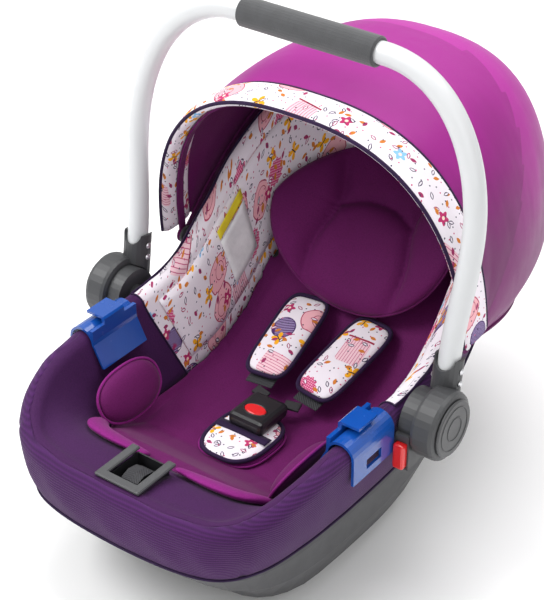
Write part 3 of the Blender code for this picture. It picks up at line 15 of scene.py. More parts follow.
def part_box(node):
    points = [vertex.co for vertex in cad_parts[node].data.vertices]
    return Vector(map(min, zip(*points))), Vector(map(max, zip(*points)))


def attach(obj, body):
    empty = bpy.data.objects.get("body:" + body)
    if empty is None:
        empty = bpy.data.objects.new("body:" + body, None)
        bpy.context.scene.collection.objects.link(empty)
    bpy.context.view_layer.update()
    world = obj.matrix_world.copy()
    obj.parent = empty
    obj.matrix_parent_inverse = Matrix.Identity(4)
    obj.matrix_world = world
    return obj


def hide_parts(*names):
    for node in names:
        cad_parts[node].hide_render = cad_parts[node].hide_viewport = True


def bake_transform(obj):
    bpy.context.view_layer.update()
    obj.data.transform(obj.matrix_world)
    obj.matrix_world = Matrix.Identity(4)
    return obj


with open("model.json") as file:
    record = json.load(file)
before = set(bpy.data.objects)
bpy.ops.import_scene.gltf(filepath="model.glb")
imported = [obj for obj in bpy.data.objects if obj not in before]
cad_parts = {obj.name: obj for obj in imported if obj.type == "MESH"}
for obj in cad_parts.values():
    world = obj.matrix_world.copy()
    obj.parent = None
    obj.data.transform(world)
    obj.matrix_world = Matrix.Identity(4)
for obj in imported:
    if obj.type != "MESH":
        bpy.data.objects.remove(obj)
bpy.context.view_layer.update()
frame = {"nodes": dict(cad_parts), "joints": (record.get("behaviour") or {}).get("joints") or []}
AXIS_Y = next(j for j in frame["joints"] if j["name"] == "handle_turn")["pos_m"][1]
SIDES = (("left", -1), ("right", 1))
print("parts", len(frame["nodes"]), "handle axis at y =", round(AXIS_Y, 4))

# %% [markdown]
# ## Studio
# A pale floor, three large soft lamps and a long lens, which keeps the seat's sides nearly parallel as a
# catalogue picture does.
# %% Camera, floor and lamps
scene = bpy.context.scene
camera = bpy.data.objects.new("camera", bpy.data.cameras.new("camera"))
scene.collection.objects.link(camera)
scene.camera = camera
camera.data.sensor_width = 36
camera.data.lens = 102.2
camera.data.shift_x = -0.0204
camera.location = (0.9172, -1.2830, 1.2507)
look_at = Vector((0, 0.030 + AXIS_Y, 0.249))
camera.rotation_euler = (look_at - camera.location).to_track_quat("-Z", "Y").to_euler()


def lamp(name, place, aim, size, power):
    """A square soft lamp that shines from one place to another."""
    data = bpy.data.lights.new(name, "AREA")
    data.size = size
    data.energy = power
    obj = bpy.data.objects.new(name, data)
    scene.collection.objects.link(obj)
    obj.location = place
    obj.rotation_euler = (Vector(aim) - Vector(place)).to_track_quat("-Z", "Y").to_euler()


lamp("key", (-1.5, -1.3, 2.4), (0, 0, 0.2), 1.5, 62)
lamp("fill", (2.2, -1.6, 1.4), (0, 0, 0.2), 2.0, 16)
lamp("top", (0.0, 0.7, 2.7), (0, 0, 0.2), 2.2, 62)
world = bpy.data.worlds.new("room")
world.use_nodes = True
world.node_tree.nodes["Background"].inputs["Color"].default_value = (1, 1, 1, 1)
world.node_tree.nodes["Background"].inputs["Strength"].default_value = 0.62
scene.world = world
scene.view_settings.view_transform = "Standard"
print("camera", [round(v, 3) for v in camera.location], "lens", camera.data.lens)

# %% [markdown]
# ## Writing finishes as sums
# Real cloth and plastic are never one flat colour. A small class wraps a shader socket, so that a pattern
# can be written as a sum and not as a web of nodes.
# %% The socket class and the finish builder
class Signal:
    """The value of one shader socket. Arithmetic on it adds Math nodes."""

    def __init__(self, finish, socket):
        self.finish = finish
        self.socket = socket

    def math(self, operation, *values):
        return self.finish.node("ShaderNodeMath", {"operation": operation}, dict(enumerate(values)))

    def sin(self):
        return self.math("SINE", self)

    def abs(self):
        return self.math("ABSOLUTE", self)

    def sqrt(self):
        return self.math("SQRT", self)

    def cos(self):
        return self.math("COSINE", self)

    def angle_to(self, across):
        """The angle of a point whose height is this signal."""
        return self.math("ARCTAN2", self, across)

    def max(self, other):
        return self.math("MAXIMUM", self, other)

    def ramp(self, low, high):
        """0 below one value, 1 above another and a smooth step between them."""
        return self.finish.node("ShaderNodeMapRange", {"interpolation_type": "SMOOTHSTEP"},
                                {0: self, 1: low, 2: high})


def operator(operation, reflected):
    """A method that adds one Math node, for a value on either side of the sign."""
    if reflected:
        return lambda signal, other: signal.math(operation, other, signal)
    return lambda signal, other: signal.math(operation, signal, other)


for symbol, operation in (("add", "ADD"), ("sub", "SUBTRACT"), ("mul", "MULTIPLY"), ("truediv", "DIVIDE")):
    setattr(Signal, "__%s__" % symbol, operator(operation, False))
    setattr(Signal, "__r%s__" % symbol, operator(operation, True))
for symbol, operation in (("lt", "LESS_THAN"), ("gt", "GREATER_THAN")):
    setattr(Signal, "__%s__" % symbol, operator(operation, False))


class Finish:
    """A material that is built up from sums of signals."""

    def __init__(self, name, colour, roughness, **constant):
        self.material = bpy.data.materials.new(name)
        self.material.use_nodes = True
        self.tree = self.material.node_tree
        self.shader = self.tree.nodes["Principled BSDF"]
        self.set("Base Color", colour)
        self.set("Roughness", roughness)
        for socket_name, value in constant.items():
            self.set(socket_name.replace("_", " "), value)
        self.material.diffuse_color = colour if isinstance(colour, tuple) else (0.5, 0.5, 0.5, 1)

    def node(self, kind, settings=None, values=None, out=0):
        """Add a node with its settings, feed its sockets and return one of its outputs."""
        made = self.tree.nodes.new(kind)
        for name, value in (settings or {}).items():
            setattr(made, name, value)
        for key, value in (values or {}).items():
            self.feed(made.inputs[key], value)
        return Signal(self, made.outputs[out])

    def feed(self, socket, value):
        if isinstance(value, Signal):
            self.tree.links.new(value.socket, socket)
        else:
            socket.default_value = value

    def set(self, name, value):
        self.feed(self.shader.inputs[name], value)

    def place(self, kind="Object"):
        """Where a point of the surface is: on the object in metres, or in its cloth's UV."""
        return self.node("ShaderNodeTexCoord", out=kind)

    def split(self, vector):
        """The parts of a vector."""
        made = self.tree.nodes.new("ShaderNodeSeparateXYZ")
        self.feed(made.inputs[0], vector)
        return [Signal(self, made.outputs[k]) for k in range(3)]

    def noise(self, place, scale, detail=2.0, out="Fac"):
        return self.node("ShaderNodeTexNoise", {}, {"Vector": place, "Scale": scale, "Detail": detail}, out)

    def cells(self, place, scale, out="Distance", feature="F1", dimensions="3D", randomness=1.0):
        return self.node("ShaderNodeTexVoronoi", {"feature": feature, "voronoi_dimensions": dimensions},
                         {"Vector": place, "Scale": scale, "Randomness": randomness}, out)

    def mix(self, factor, low, high):
        """A colour between two others."""
        made = self.tree.nodes.new("ShaderNodeMix")
        made.data_type = "RGBA"
        self.feed(made.inputs["Factor"], factor)
        self.feed(made.inputs[6], low)
        self.feed(made.inputs[7], high)
        return Signal(self, made.outputs[2])

    def bump(self, height, strength, distance):
        self.set("Normal", self.node("ShaderNodeBump", {}, {"Strength": strength, "Distance": distance,
                                                           "Height": height}, "Normal"))


def tint(colour, factor):
    """A lighter or darker version of a colour."""
    return tuple(min(c * factor, 1.0) for c in colour[:3]) + (1.0,)


print("shader helpers ready")

# %% [markdown]
# ## Plastics and metals
# Moulded plastic has a fine grain and a slightly uneven gloss. Painted tube is smoother, with a clear coat.
# %% Hard finishes
def moulded(name, colour, roughness, grain=900.0, depth=0.00008, coat=0.0):
    """Moulded plastic with a fine spark-eroded grain and faint handling marks."""
    f = Finish(name, colour, roughness, Coat_Weight=coat, Coat_Roughness=0.12)
    place = f.place()
    marks = f.noise(place, 22.0, 4.0)
    f.set("Base Color", f.mix(marks, tint(colour, 0.86), tint(colour, 1.18)))
    f.set("Roughness", roughness - 0.10 + 0.20 * f.noise(place, 60.0, 3.0))
    f.bump(f.noise(place, grain, 2.0), 0.35, depth)
    return f.material


def foam(name, colour):
    """Closed-cell foam: tiny pits all over a matt skin."""
    f = Finish(name, colour, 0.92, Sheen_Weight=0.25, Sheen_Roughness=0.6)
    place = f.place()
    pits = f.cells(place, 750.0)
    f.set("Base Color", f.mix(f.noise(place, 90.0, 3.0), tint(colour, 0.75), tint(colour, 1.35)))
    f.bump(pits, 0.6, 0.0003)
    return f.material


def painted(name, colour):
    """Satin powder coat on aluminium, with a faint orange peel."""
    f = Finish(name, colour, 0.30, Coat_Weight=0.35, Coat_Roughness=0.18)
    place = f.place()
    f.set("Base Color", f.mix(f.noise(place, 9.0, 3.0), tint(colour, 0.96), tint(colour, 1.03)))
    f.set("Roughness", 0.24 + 0.14 * f.noise(place, 35.0, 3.0))
    f.bump(f.noise(place, 420.0, 1.0), 0.12, 0.0001)
    return f.material


def steel(name):
    """Zinc-plated steel with turning marks."""
    f = Finish(name, (0.62, 0.62, 0.64, 1), 0.3, Metallic=1.0)
    place = f.place()
    f.set("Roughness", 0.20 + 0.25 * f.noise(place, 160.0, 3.0))
    f.bump(f.noise(place, 600.0, 2.0), 0.2, 0.00005)
    return f.material


SHELL_GREY = moulded("shell_grain", (0.058, 0.058, 0.062, 1), 0.55, 700.0, 0.00015)
HUB_GREY = moulded("hub_grain", (0.046, 0.047, 0.050, 1), 0.46, 900.0)
TRIM_GREY = moulded("trim_grain", (0.060, 0.061, 0.064, 1), 0.42, 900.0)
BLACK = moulded("black_plastic", (0.012, 0.012, 0.014, 1), 0.38, 900.0, coat=0.15)
RED = moulded("red_gloss", (0.70, 0.012, 0.014, 1), 0.30, 500.0, 0.00004, coat=0.4)
BLUE = moulded("blue_gloss", (0.004, 0.065, 0.330, 1), 0.24, 400.0, 0.00004, coat=0.6)
GRIP = foam("grip_foam", (0.040, 0.041, 0.044, 1))
WHITE = painted("white_powder_coat", (0.60, 0.61, 0.62, 1))
STEEL = steel("plated_steel")
print("hard finishes", [m.name for m in (SHELL_GREY, HUB_GREY, TRIM_GREY, BLACK, RED, BLUE, GRIP, WHITE,
                                         STEEL)])

# %% [markdown]
# ## Cloths
# A ribbed violet mesh covers the outside, smooth knits the cushions, a satin the hood, and a white cotton print
# the rest. Their threads are a few millimetres apart or less, so they are made as bump from fine cells and
# waves, with broad noise for the uneven dye. The mesh, the satin and the webbing also take painted shade in
# their low parts.
# %% Cloth finishes
VIOLET = (0.062, 0.012, 0.092, 1)
PLUM = (0.130, 0.007, 0.098, 1)
ORCHID = (0.230, 0.012, 0.180, 1)
NAVY = (0.018, 0.006, 0.034, 1)
CRIMSON_INK = (0.42, 0.050, 0.110, 1)
PI2 = 2 * math.pi


def ribbed_mesh(name, colour):
    """Air mesh: rows of small loops in level ribs, with painted shade in the valleys between the ribs."""
    f = Finish(name, colour, 0.86, Specular_IOR_Level=0.2, Sheen_Weight=0.08, Sheen_Roughness=0.5)
    place = f.place()
    x, y, z = f.split(place)
    rib = (z * (PI2 / 0.0030)).sin()
    loop = ((x + y) * (PI2 / 0.0024)).sin()
    height = rib * 0.7 + loop * rib.abs() * 0.3
    shade = f.noise(place, 7.0, 3.0)
    worn = f.mix(shade, tint(colour, 0.80), tint(colour, 1.25))
    # Painted shade: the rib valleys are darkened towards black, following the ribs' height.
    f.set("Base Color", f.mix(height * 0.5 + 0.5, f.mix(0.45, worn, (0.0, 0.0, 0.0, 1)), worn))
    f.bump(height, 0.55, 0.0005)
    return f.material


def knit(name, colour, loops=620.0, sheen=0.08):
    """Smooth knitted cloth with a soft pile."""
    f = Finish(name, colour, 0.78, Specular_IOR_Level=0.2, Sheen_Weight=sheen, Sheen_Roughness=0.4)
    place = f.place()
    shade = f.noise(place, 9.0, 4.0)
    threads = f.cells(place, loops)
    body = f.mix(shade, tint(colour, 0.84), tint(colour, 1.20))
    f.set("Base Color", f.mix(threads * 0.6, body, tint(colour, 0.62)))
    f.bump(threads * 0.6 + f.noise(place, 34.0, 4.0) * 0.8, 0.35, 0.0009)
    return f.material


def satin(name, colour):
    """Thin shot satin: fine diagonal twill, with painted shade low down and in the waves of its tension."""
    f = Finish(name, colour, 0.46, Specular_IOR_Level=0.25, Sheen_Weight=0.06, Sheen_Roughness=0.3)
    place = f.place()
    x, y, z = f.split(place)
    twill = ((x * 0.6 + y + z * 0.8) * (PI2 / 0.0016)).sin()
    stretched = f.node("ShaderNodeVectorMath", {"operation": "MULTIPLY"}, {0: place, 1: (1.0, 3.2, 0.45)})
    waves = f.noise(stretched, 7.0, 2.0)
    # Painted shade: the satin is darker low down and in the waves, lighter high up.
    high = (z + (waves - 0.5) * 0.20).ramp(0.27, 0.47)
    f.set("Base Color", f.mix(high, tint(colour, 0.50), tint(colour, 1.15)))
    f.set("Roughness", 0.40 + 0.16 * f.noise(place, 40.0, 2.0))
    f.bump(twill * 0.2 + waves * 6.0 + f.noise(place, 16.0, 5.0) * 2.0, 0.30, 0.0016)
    return f.material


def webbing(name, colour):
    """Woven strap: chevrons across its length, with painted shade in their grooves and painted highlight on
    their ridges.
    """
    f = Finish(name, colour, 0.66, Sheen_Weight=0.05)
    place = f.place()
    x, y, z = f.split(place)
    chevron = ((x.abs() + y) * (PI2 / 0.0032)).sin()
    # Painted shade and highlight: darker in the chevrons' grooves, lighter on their ridges.
    f.set("Base Color", f.mix(chevron * 0.5 + 0.5, tint(colour, 0.6), tint(colour, 1.6)))
    f.bump(chevron, 0.6, 0.0004)
    return f.material


def cord_cover(name, colour):
    """Bias tape rolled round a cord, with its small creases."""
    f = Finish(name, colour, 0.75, Specular_IOR_Level=0.2, Sheen_Weight=0.05)
    place = f.place()
    f.set("Base Color", f.mix(f.noise(place, 60.0, 3.0), tint(colour, 0.7), tint(colour, 1.5)))
    f.bump(f.noise(place, 300.0, 3.0), 0.5, 0.0004)
    return f.material


print("cloth builders ready")

# %% [markdown]
# ## The cotton print
# The print is scattered leaves, petals, dots and balloons. Each kind is a layer of Voronoi cells: the cell's
# own point gives the figure's middle, so a flower is only an angle and a distance measured from it. The
# cloth's UV is in metres, so figures keep their size on every piece.
# %% Printed cotton
def scatter(f, place, scale, chance, seed):
    """Local coordinates in each cell, a random number per cell and whether the cell has a figure."""
    shifted = f.node("ShaderNodeVectorMath", {"operation": "ADD"}, {0: place, 1: (seed, seed * 0.37, 0.0)})
    middle = f.cells(shifted, scale, "Position", dimensions="2D", randomness=0.8)
    colour = f.cells(shifted, scale, "Color", dimensions="2D", randomness=0.8)
    local = f.node("ShaderNodeVectorMath", {"operation": "SUBTRACT"}, {0: shifted, 1: middle})
    x, y, _ = f.split(local)
    r, g, b = f.split(colour)
    turn = r * PI2
    cosine, sine = turn.cos(), turn.sin()
    across = x * cosine + y * sine
    along = y * cosine - x * sine
    return across, along, g, b < chance


def printed(name, ground):
    """White cotton printed with flowers, leaves, balloons and dots."""
    f = Finish(name, ground, 0.82, Specular_IOR_Level=0.2)
    place = f.place("UV")
    colour = f.mix(f.noise(f.place(), 12.0, 3.0), tint(ground, 0.95), tint(ground, 1.04))

    def lay(mask, ink):
        nonlocal colour
        colour = f.mix(mask, colour, ink)

    x, y, g, on = scatter(f, place, 17.0, 0.80, 3.1)
    round_part = (x * x) / 0.00030 + (y * y) / 0.00034
    square_part = (x / 0.0150).abs().max((y / 0.0180).abs())
    lined = ((x * (PI2 / 0.0034)).sin() > 0.78)
    hatched = ((y * (PI2 / 0.0026)).sin() > 0.25)
    pear_part = round_part * 0.5 + square_part * 0.5
    pear = pear_part < 1.0
    cage = (square_part.max(round_part * 0.72) < 1.0)
    first = on * (g < 0.40)
    second = on * (g > 0.40) * (g < 0.64)
    third = on * (g > 0.64) * (g < 0.84)
    fourth = on * (g > 0.84)
    lay(pear * first, (0.86, 0.45, 0.50, 1))
    lay(((pear_part - 0.93).abs() < 0.045) * first, CRIMSON_INK)
    to_face = (x * x + (y + 0.004) * (y + 0.004)).sqrt()
    lay(((to_face - 0.0085).abs() < 0.0004) * pear * first, CRIMSON_INK)
    lay(cage * second, (0.86, 0.58, 0.64, 1))
    lay(cage * second * lined, (0.55, 0.10, 0.22, 1))
    lay(second * (x.abs() < 0.0165) * ((y + 0.0195).abs() < 0.0012), (0.36, 0.010, 0.060, 1))
    lay((round_part < 0.72) * third, (0.070, 0.022, 0.130, 1))
    lay((round_part < 0.60) * third * hatched * (x > -0.010), (0.42, 0.34, 0.56, 1))
    radius, angle = (x * x + y * y).sqrt(), y.angle_to(x)
    bloom = (radius < (angle * 12.0).sin() * 0.0010 + 0.0130)
    lay(bloom * fourth, (0.62, 0.060, 0.200, 1))
    lay(bloom * fourth * (((x * (PI2 / 0.0035)).sin() * (y * (PI2 / 0.0035)).sin()) > 0.45),
        (0.86, 0.60, 0.70, 1))

    x, y, g, on = scatter(f, place, 27.0, 0.55, 7.7)
    radius, angle = (x * x + y * y).sqrt(), y.angle_to(x)
    petals = (angle * 5.0).sin() * 0.0016 + 0.0062
    flower = (radius < petals) * on
    wing = ((angle * 2.0).sin().abs() * 0.0095)
    flutter = (radius < wing) * on
    lay(flutter * (g < 0.52), (0.90, 0.42, 0.012, 1))
    lay(on * (g < 0.52) * (x.abs() < 0.0006) * (y.abs() < 0.0050), (0.020, 0.012, 0.030, 1))
    lay(flower * (g > 0.52) * (g < 0.80), (0.50, 0.030, 0.140, 1))
    lay(flower * (g > 0.80), (0.25, 0.52, 0.80, 1))
    lay((radius < 0.0020) * flower * (g > 0.52), (0.90, 0.70, 0.60, 1))

    for size, seed, chance in ((62.0, 1.3, 0.52), (76.0, 5.9, 0.45)):
        x, y, g, on = scatter(f, place, size, chance, seed)
        leaf = (x.abs() < 0.0021 * (1 - (y * y) / 0.000018)) * on
        lay(leaf * (g < 0.35), (0.045, 0.030, 0.080, 1))
        lay(leaf * (g > 0.35) * (g < 0.7), (0.34, 0.030, 0.120, 1))
        lay(leaf * (g > 0.7), (0.62, 0.20, 0.030, 1))
        lay(leaf * (x.abs() < 0.0010 * (1 - (y * y) / 0.000010)) * (g < 0.55), (0.84, 0.78, 0.84, 1))

    x, y, g, on = scatter(f, place, 120.0, 0.62, 2.2)
    dot = ((x * x + y * y) < 0.0000008) * on
    lay(dot * (g < 0.6), (0.040, 0.040, 0.080, 1))
    lay(dot * (g > 0.6), (0.55, 0.06, 0.18, 1))
    f.set("Base Color", colour)
    u, v, w = f.split(place)
    weave = (u * (PI2 / 0.0014)).sin() * (v * (PI2 / 0.0014)).sin()
    f.bump(weave * 0.4 + f.noise(f.place(), 30.0, 4.0), 0.3, 0.0008)
    return f.material


MESH_VIOLET = ribbed_mesh("violet_air_mesh", VIOLET)
DEEP_VIOLET = knit("violet_lining", (0.050, 0.009, 0.068, 1), 560.0)
KNIT_PLUM = knit("plum_knit", PLUM)
KNIT_ORCHID = knit("orchid_knit", ORCHID, 560.0)
HOOD_OUT = satin("hood_satin", (0.340, 0.018, 0.250, 1))
# A darker copy of the hood satin, for the hood's front rows.
HOOD_FRONT = satin("hood_front_panel", (0.260, 0.012, 0.190, 1))
HOOD_IN = knit("hood_lining", (0.120, 0.006, 0.090, 1), 640.0)
PRINT = printed("cotton_print", (0.84, 0.78, 0.84, 1))
PIPING = cord_cover("dark_piping", NAVY)
STRAP = webbing("black_webbing", (0.018, 0.018, 0.022, 1))
print("cloths", [m.name for m in (MESH_VIOLET, DEEP_VIOLET, KNIT_PLUM, KNIT_ORCHID, HOOD_OUT, HOOD_IN,
                                  PRINT)])

# %% [markdown]
# ## Hard parts keep their measured shape
# The shell, hubs, guides and metal parts are right as they are, so each only takes its finish. A narrow bevel
# catches the light along the sharp edges, as a moulded part's edges do.
# %% Finishes for the measured parts
HARD = {
    "carrier_shell": SHELL_GREY, "seat_pan": BLACK, "hub_housing": HUB_GREY, "handle_socket": HUB_GREY,
    "hub_cap": TRIM_GREY, "canopy_bracket": TRIM_GREY, "adjuster_bezel": TRIM_GREY, "adjuster_lever": BLACK,
    "adjuster_tray": BLACK, "adjuster_pin": STEEL, "adjuster_strap": STRAP, "handle_grip": GRIP,
    "release_button": RED, "buckle_button": RED, "belt_guide": BLUE, "buckle_housing": BLACK,
    "buckle_tongue": BLACK, "lock_gear": BLACK, "canopy_front_bow": HOOD_IN, "canopy_mid_bow": HOOD_IN,
    "shoulder_strap": STRAP, "crotch_strap": STRAP, "button_spring": STEEL, "canopy_pin": STEEL,
    "harness_yoke": STEEL, "pivot_bolt": STEEL, "rivet": STEEL,
}


def finish_for(name):
    return next((material for key, material in HARD.items() if name.startswith(key)), None)


for name, node in frame["nodes"].items():
    material = finish_for(name)
    if material is not None:
        node.data.materials.clear()
        node.data.materials.append(material)
for name in ("belt_guide_left", "belt_guide_right", "adjuster_bezel", "handle_socket_left",
             "handle_socket_right", "hub_housing_left", "hub_housing_right"):
    soft_edge = frame["nodes"][name].modifiers.new("soft_edge", "BEVEL")
    soft_edge.width = 0.0006
    soft_edge.segments = 2
    soft_edge.limit_method = "ANGLE"
    soft_edge.angle_limit = math.radians(40)
print("dressed", sum(finish_for(n) is not None for n in frame["nodes"]), "measured parts")

# %% [markdown]
# ## Cloth from a grid of points
# Sewn cloth is easiest to control as rows of points. The grid helper joins the rows into quads and writes a
# UV in metres, so that the print is the same size on every piece.
# %% Grid, tube and piece helpers
def shown(name, mesh, body, slot, material, *replaced):
    """Put a mesh on stage as a piece that rides on a body."""
    obj = bpy.data.objects.new(name, mesh)
    scene.collection.objects.link(obj)
    if material is not None:
        mesh.materials.append(material)
    mesh.shade_smooth()
    if body:
        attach(obj, body)
    if replaced:
        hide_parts(*replaced)
    return obj


def running(points, axis, closed):
    """Distance along a grid of points from its middle, in metres."""
    if closed:
        points = np.concatenate([points, np.take(points, [0], axis)], axis)
    steps = np.linalg.norm(np.diff(points, axis=axis), axis=2)
    total = np.cumsum(steps, axis=axis)
    total = np.concatenate([np.zeros_like(np.take(total, [0], axis)), total], axis)
    return total - np.take(total, [total.shape[axis] // 2], axis)


def grid_mesh(name, points, ring_rows=False, ring_columns=False):
    """A mesh through rows and columns of points, with a UV in metres."""
    points = np.asarray(points, float)
    rows, columns = points.shape[:2]
    u = running(points, 1, ring_columns)
    v = running(points, 0, ring_rows)
    if ring_rows:
        u = np.concatenate([u, u[:1]], 0)
    if ring_columns:
        v = np.concatenate([v, v[:, :1]], 1)
    faces, corners = [], []
    for r in range(rows if ring_rows else rows - 1):
        for c in range(columns if ring_columns else columns - 1):
            quad = ((r, c), (r, c + 1), (r + 1, c + 1), (r + 1, c))
            faces.append([(i % rows) * columns + j % columns for i, j in quad])
            corners += [(u[i, j], v[i, j]) for i, j in quad]
    mesh = bpy.data.meshes.new(name)
    mesh.from_pydata(points.reshape(-1, 3).tolist(), [], faces)
    layer = mesh.uv_layers.new(name="UVMap")
    layer.data.foreach_set("uv", np.array(corners, np.float32).ravel())
    return mesh


def tidy_mesh(mesh, closed=True):
    """Weld doubles, close open ends and point the faces out."""
    bm = bmesh.new()
    bm.from_mesh(mesh)
    bmesh.ops.remove_doubles(bm, verts=bm.verts, dist=1e-6)
    if closed:
        bmesh.ops.holes_fill(bm, edges=bm.edges, sides=0)
        bmesh.ops.recalc_face_normals(bm, faces=bm.faces)
    bm.to_mesh(mesh)
    bm.free()
    return mesh


def baked(obj):
    """The mesh of an object with its modifiers applied, and the object removed."""
    bpy.context.view_layer.update()
    mesh = bpy.data.meshes.new_from_object(obj.evaluated_get(bpy.context.evaluated_depsgraph_get()))
    bpy.data.objects.remove(obj, do_unlink=True)
    return mesh


def settle(obj):
    """Apply an object's modifiers to its mesh and keep the object."""
    bpy.context.view_layer.update()
    mesh = bpy.data.meshes.new_from_object(obj.evaluated_get(bpy.context.evaluated_depsgraph_get()))
    obj.modifiers.clear()
    obj.data = mesh


def read_points(mesh):
    """A mesh's points as an array with a row for each."""
    co = np.empty(len(mesh.vertices) * 3)
    mesh.vertices.foreach_get("co", co)
    return co.reshape(-1, 3)


def through(p, t):
    """A point between the middle two of four, on a smooth spline."""
    return 0.5 * (2 * p[1] + (p[2] - p[0]) * t + (2 * p[0] - 5 * p[1] + 4 * p[2] - p[3]) * t ** 2
                  + (3 * p[1] - p[0] - 3 * p[2] + p[3]) * t ** 3)


def signed_power(value, power):
    return math.copysign(abs(value) ** power, value)


def tube(name, points, radius, closed=False, resolution=4):
    """A round cord or pipe along points, as a mesh."""
    curve = bpy.data.curves.new(name, "CURVE")
    curve.dimensions = "3D"
    curve.bevel_depth = radius
    curve.bevel_resolution = resolution
    curve.use_fill_caps = not closed
    spline = curve.splines.new("POLY")
    spline.points.add(len(points) - 1)
    spline.points.foreach_set("co", [c for p in points for c in (*p, 1.0)])
    spline.use_cyclic_u = closed
    holder = bpy.data.objects.new(name, curve)
    scene.collection.objects.link(holder)
    return baked(holder)


def piping(name, points, body, radius=0.0018, closed=False, material=None):
    """Corded piping sewn along an edge."""
    return shown(name, tube(name, points, radius, closed, 2), body, "printed_fabric", material or PIPING)


def flat_uv(mesh, matrix):
    """A UV in metres that looks straight down on a frame's XY plane, for small pads."""
    inverse = np.array(matrix.inverted())
    local = read_points(mesh) @ inverse[:3, :3].T + inverse[:3, 3]
    index = np.empty(len(mesh.loops), int)
    mesh.loops.foreach_get("vertex_index", index)
    mesh.uv_layers[0].data.foreach_set("uv", local[index, :2].astype(np.float32).ravel())


print("mesh helpers ready")

# %% [markdown]
# ## The seat's outline
# The seat is drawn as fourteen stations from the foot end round to the head end, each with its rim, hem and
# floor. A smooth closed spline through them gives every cloth on the seat the shell's flowing lines.
# %% Stations and the surfaces between them
RIM_ROLL = 0.0130
OUTER_BULGE = 0.0040
FINE = 8                     # outline points per station
STATIONS = (
    ((0.000, -0.254, 0.175), (0.000, -0.262, 0.110), (0.000, -0.172, 0.148), 2.6, 0.3),
    ((0.078, -0.251, 0.175), (0.077, -0.257, 0.110), (0.070, -0.170, 0.147), 2.6, 0.3),
    ((0.124, -0.238, 0.178), (0.122, -0.240, 0.109), (0.100, -0.157, 0.140), 1.9, 0.5),
    ((0.152, -0.208, 0.191), (0.146, -0.203, 0.108), (0.115, -0.130, 0.122), 1.3, 0.8),
    ((0.167, -0.165, 0.206), (0.156, -0.152, 0.108), (0.120, -0.090, 0.104), 1.0, 1.0),
    ((0.171, -0.110, 0.213), (0.160, -0.097, 0.108), (0.122, -0.050, 0.101), 1.0, 1.0),
    ((0.171, -0.050, 0.215), (0.161, -0.040, 0.108), (0.122, -0.010, 0.101), 1.0, 1.0),
    ((0.172, 0.010, 0.217), (0.161, 0.015, 0.110), (0.122, 0.035, 0.106), 1.0, 1.0),
    ((0.171, 0.060, 0.232), (0.160, 0.065, 0.118), (0.122, 0.080, 0.116), 1.0, 1.0),
    ((0.168, 0.115, 0.280), (0.156, 0.130, 0.140), (0.123, 0.130, 0.142), 1.0, 1.0),
    ((0.160, 0.170, 0.338), (0.146, 0.200, 0.180), (0.120, 0.180, 0.188), 1.0, 1.0),
    ((0.135, 0.235, 0.388), (0.120, 0.265, 0.215), (0.098, 0.226, 0.240), 1.0, 1.0),
    ((0.085, 0.287, 0.408), (0.075, 0.315, 0.238), (0.060, 0.256, 0.285), 1.0, 1.0),
    ((0.000, 0.310, 0.412), (0.000, 0.330, 0.246), (0.000, 0.268, 0.302), 1.0, 1.0),
)
SEAT_LINE = np.array(((-0.165, 0.145), (-0.120, 0.112), (-0.087, 0.096), (-0.030, 0.094), (0.030, 0.098),
                      (0.080, 0.108), (0.120, 0.126), (0.155, 0.150), (0.200, 0.195), (0.250, 0.262),
                      (0.270, 0.300)))
UP = np.array([0.0, 0.0, 1.0])
UP_VECTOR = Vector((0, 0, 1))


def around(column):
    """A closed spline through one column of the stations, mirrored to the other side."""
    half = [np.atleast_1d(np.array(row[column], float)) for row in STATIONS]
    flip = np.array([-1.0] + [1.0] * (len(half[0]) - 1)) if len(half[0]) > 1 else np.array([1.0])
    points = np.array(half + [point * flip for point in half[-2:0:-1]])
    if points.shape[1] > 1:
        points[:, 1] += AXIS_Y
    t = (np.arange(FINE) / FINE)[:, None]
    return np.concatenate([through([points[(i + k) % len(points)] for k in (-1, 0, 1, 2)], t)
                           for i in range(len(points))])


RIM, HEM, FLOOR = around(0), around(1), around(2)
BEND, SHOULDER = around(3)[:, 0], around(4)
run = np.roll(RIM, -1, axis=0) - np.roll(RIM, 1, axis=0)
OUTWARD = np.stack([run[:, 1], -run[:, 0], np.zeros(len(RIM))], -1)
OUTWARD /= np.linalg.norm(OUTWARD, axis=1)[:, None]
COLUMNS = len(RIM)


def station(index):
    """The column of a station on the right side."""
    return int(round(index * FINE))


def outer_wall(t, out=0.0):
    """The outside from the rim's shoulder, t = 0, to the hem, t = 1."""
    top = RIM + OUTWARD * RIM_ROLL - UP * RIM_ROLL
    return top + (HEM - top) * t + OUTWARD * (OUTER_BULGE * math.sin(math.pi * t) + out)


def rim_roll(angle, out=0.0):
    """The padded rim's rounded top, from +90 degrees on the outside to -90 on the inside."""
    radius = RIM_ROLL + out
    drop = RIM_ROLL - radius * math.cos(math.radians(angle))
    share = SHOULDER if angle < 0 else 1.0
    return RIM + OUTWARD * radius * math.sin(math.radians(angle)) - UP * drop * share


def seat_line(y):
    return np.interp(y, SEAT_LINE[:, 0] + AXIS_Y, SEAT_LINE[:, 1])


def inside(walls, floors):
    """Rows of the seat's inside: wall shares from the rim down, then floor shares in to the middle."""
    top = RIM - OUTWARD * RIM_ROLL - UP * RIM_ROLL * SHOULDER
    rows = []
    for s in walls:
        flat = top + (FLOOR - top) * s
        height = top[:, 2] - (top[:, 2] - FLOOR[:, 2]) * s ** BEND
        rows.append(np.stack([flat[:, 0], flat[:, 1], height], -1))
    share = (FLOOR[:, 1] - FLOOR[:, 1].min()) / (FLOOR[:, 1].max() - FLOOR[:, 1].min())
    spine = -0.130 + AXIS_Y + 0.365 * share
    lift = FLOOR[:, 2] - seat_line(FLOOR[:, 1])
    for f in floors:
        y = FLOOR[:, 1] + (spine - FLOOR[:, 1]) * f
        rows.append(np.stack([FLOOR[:, 0] * (1 - f), y, seat_line(y) + lift * (1 - f) ** 2], -1))
    return np.array(rows)


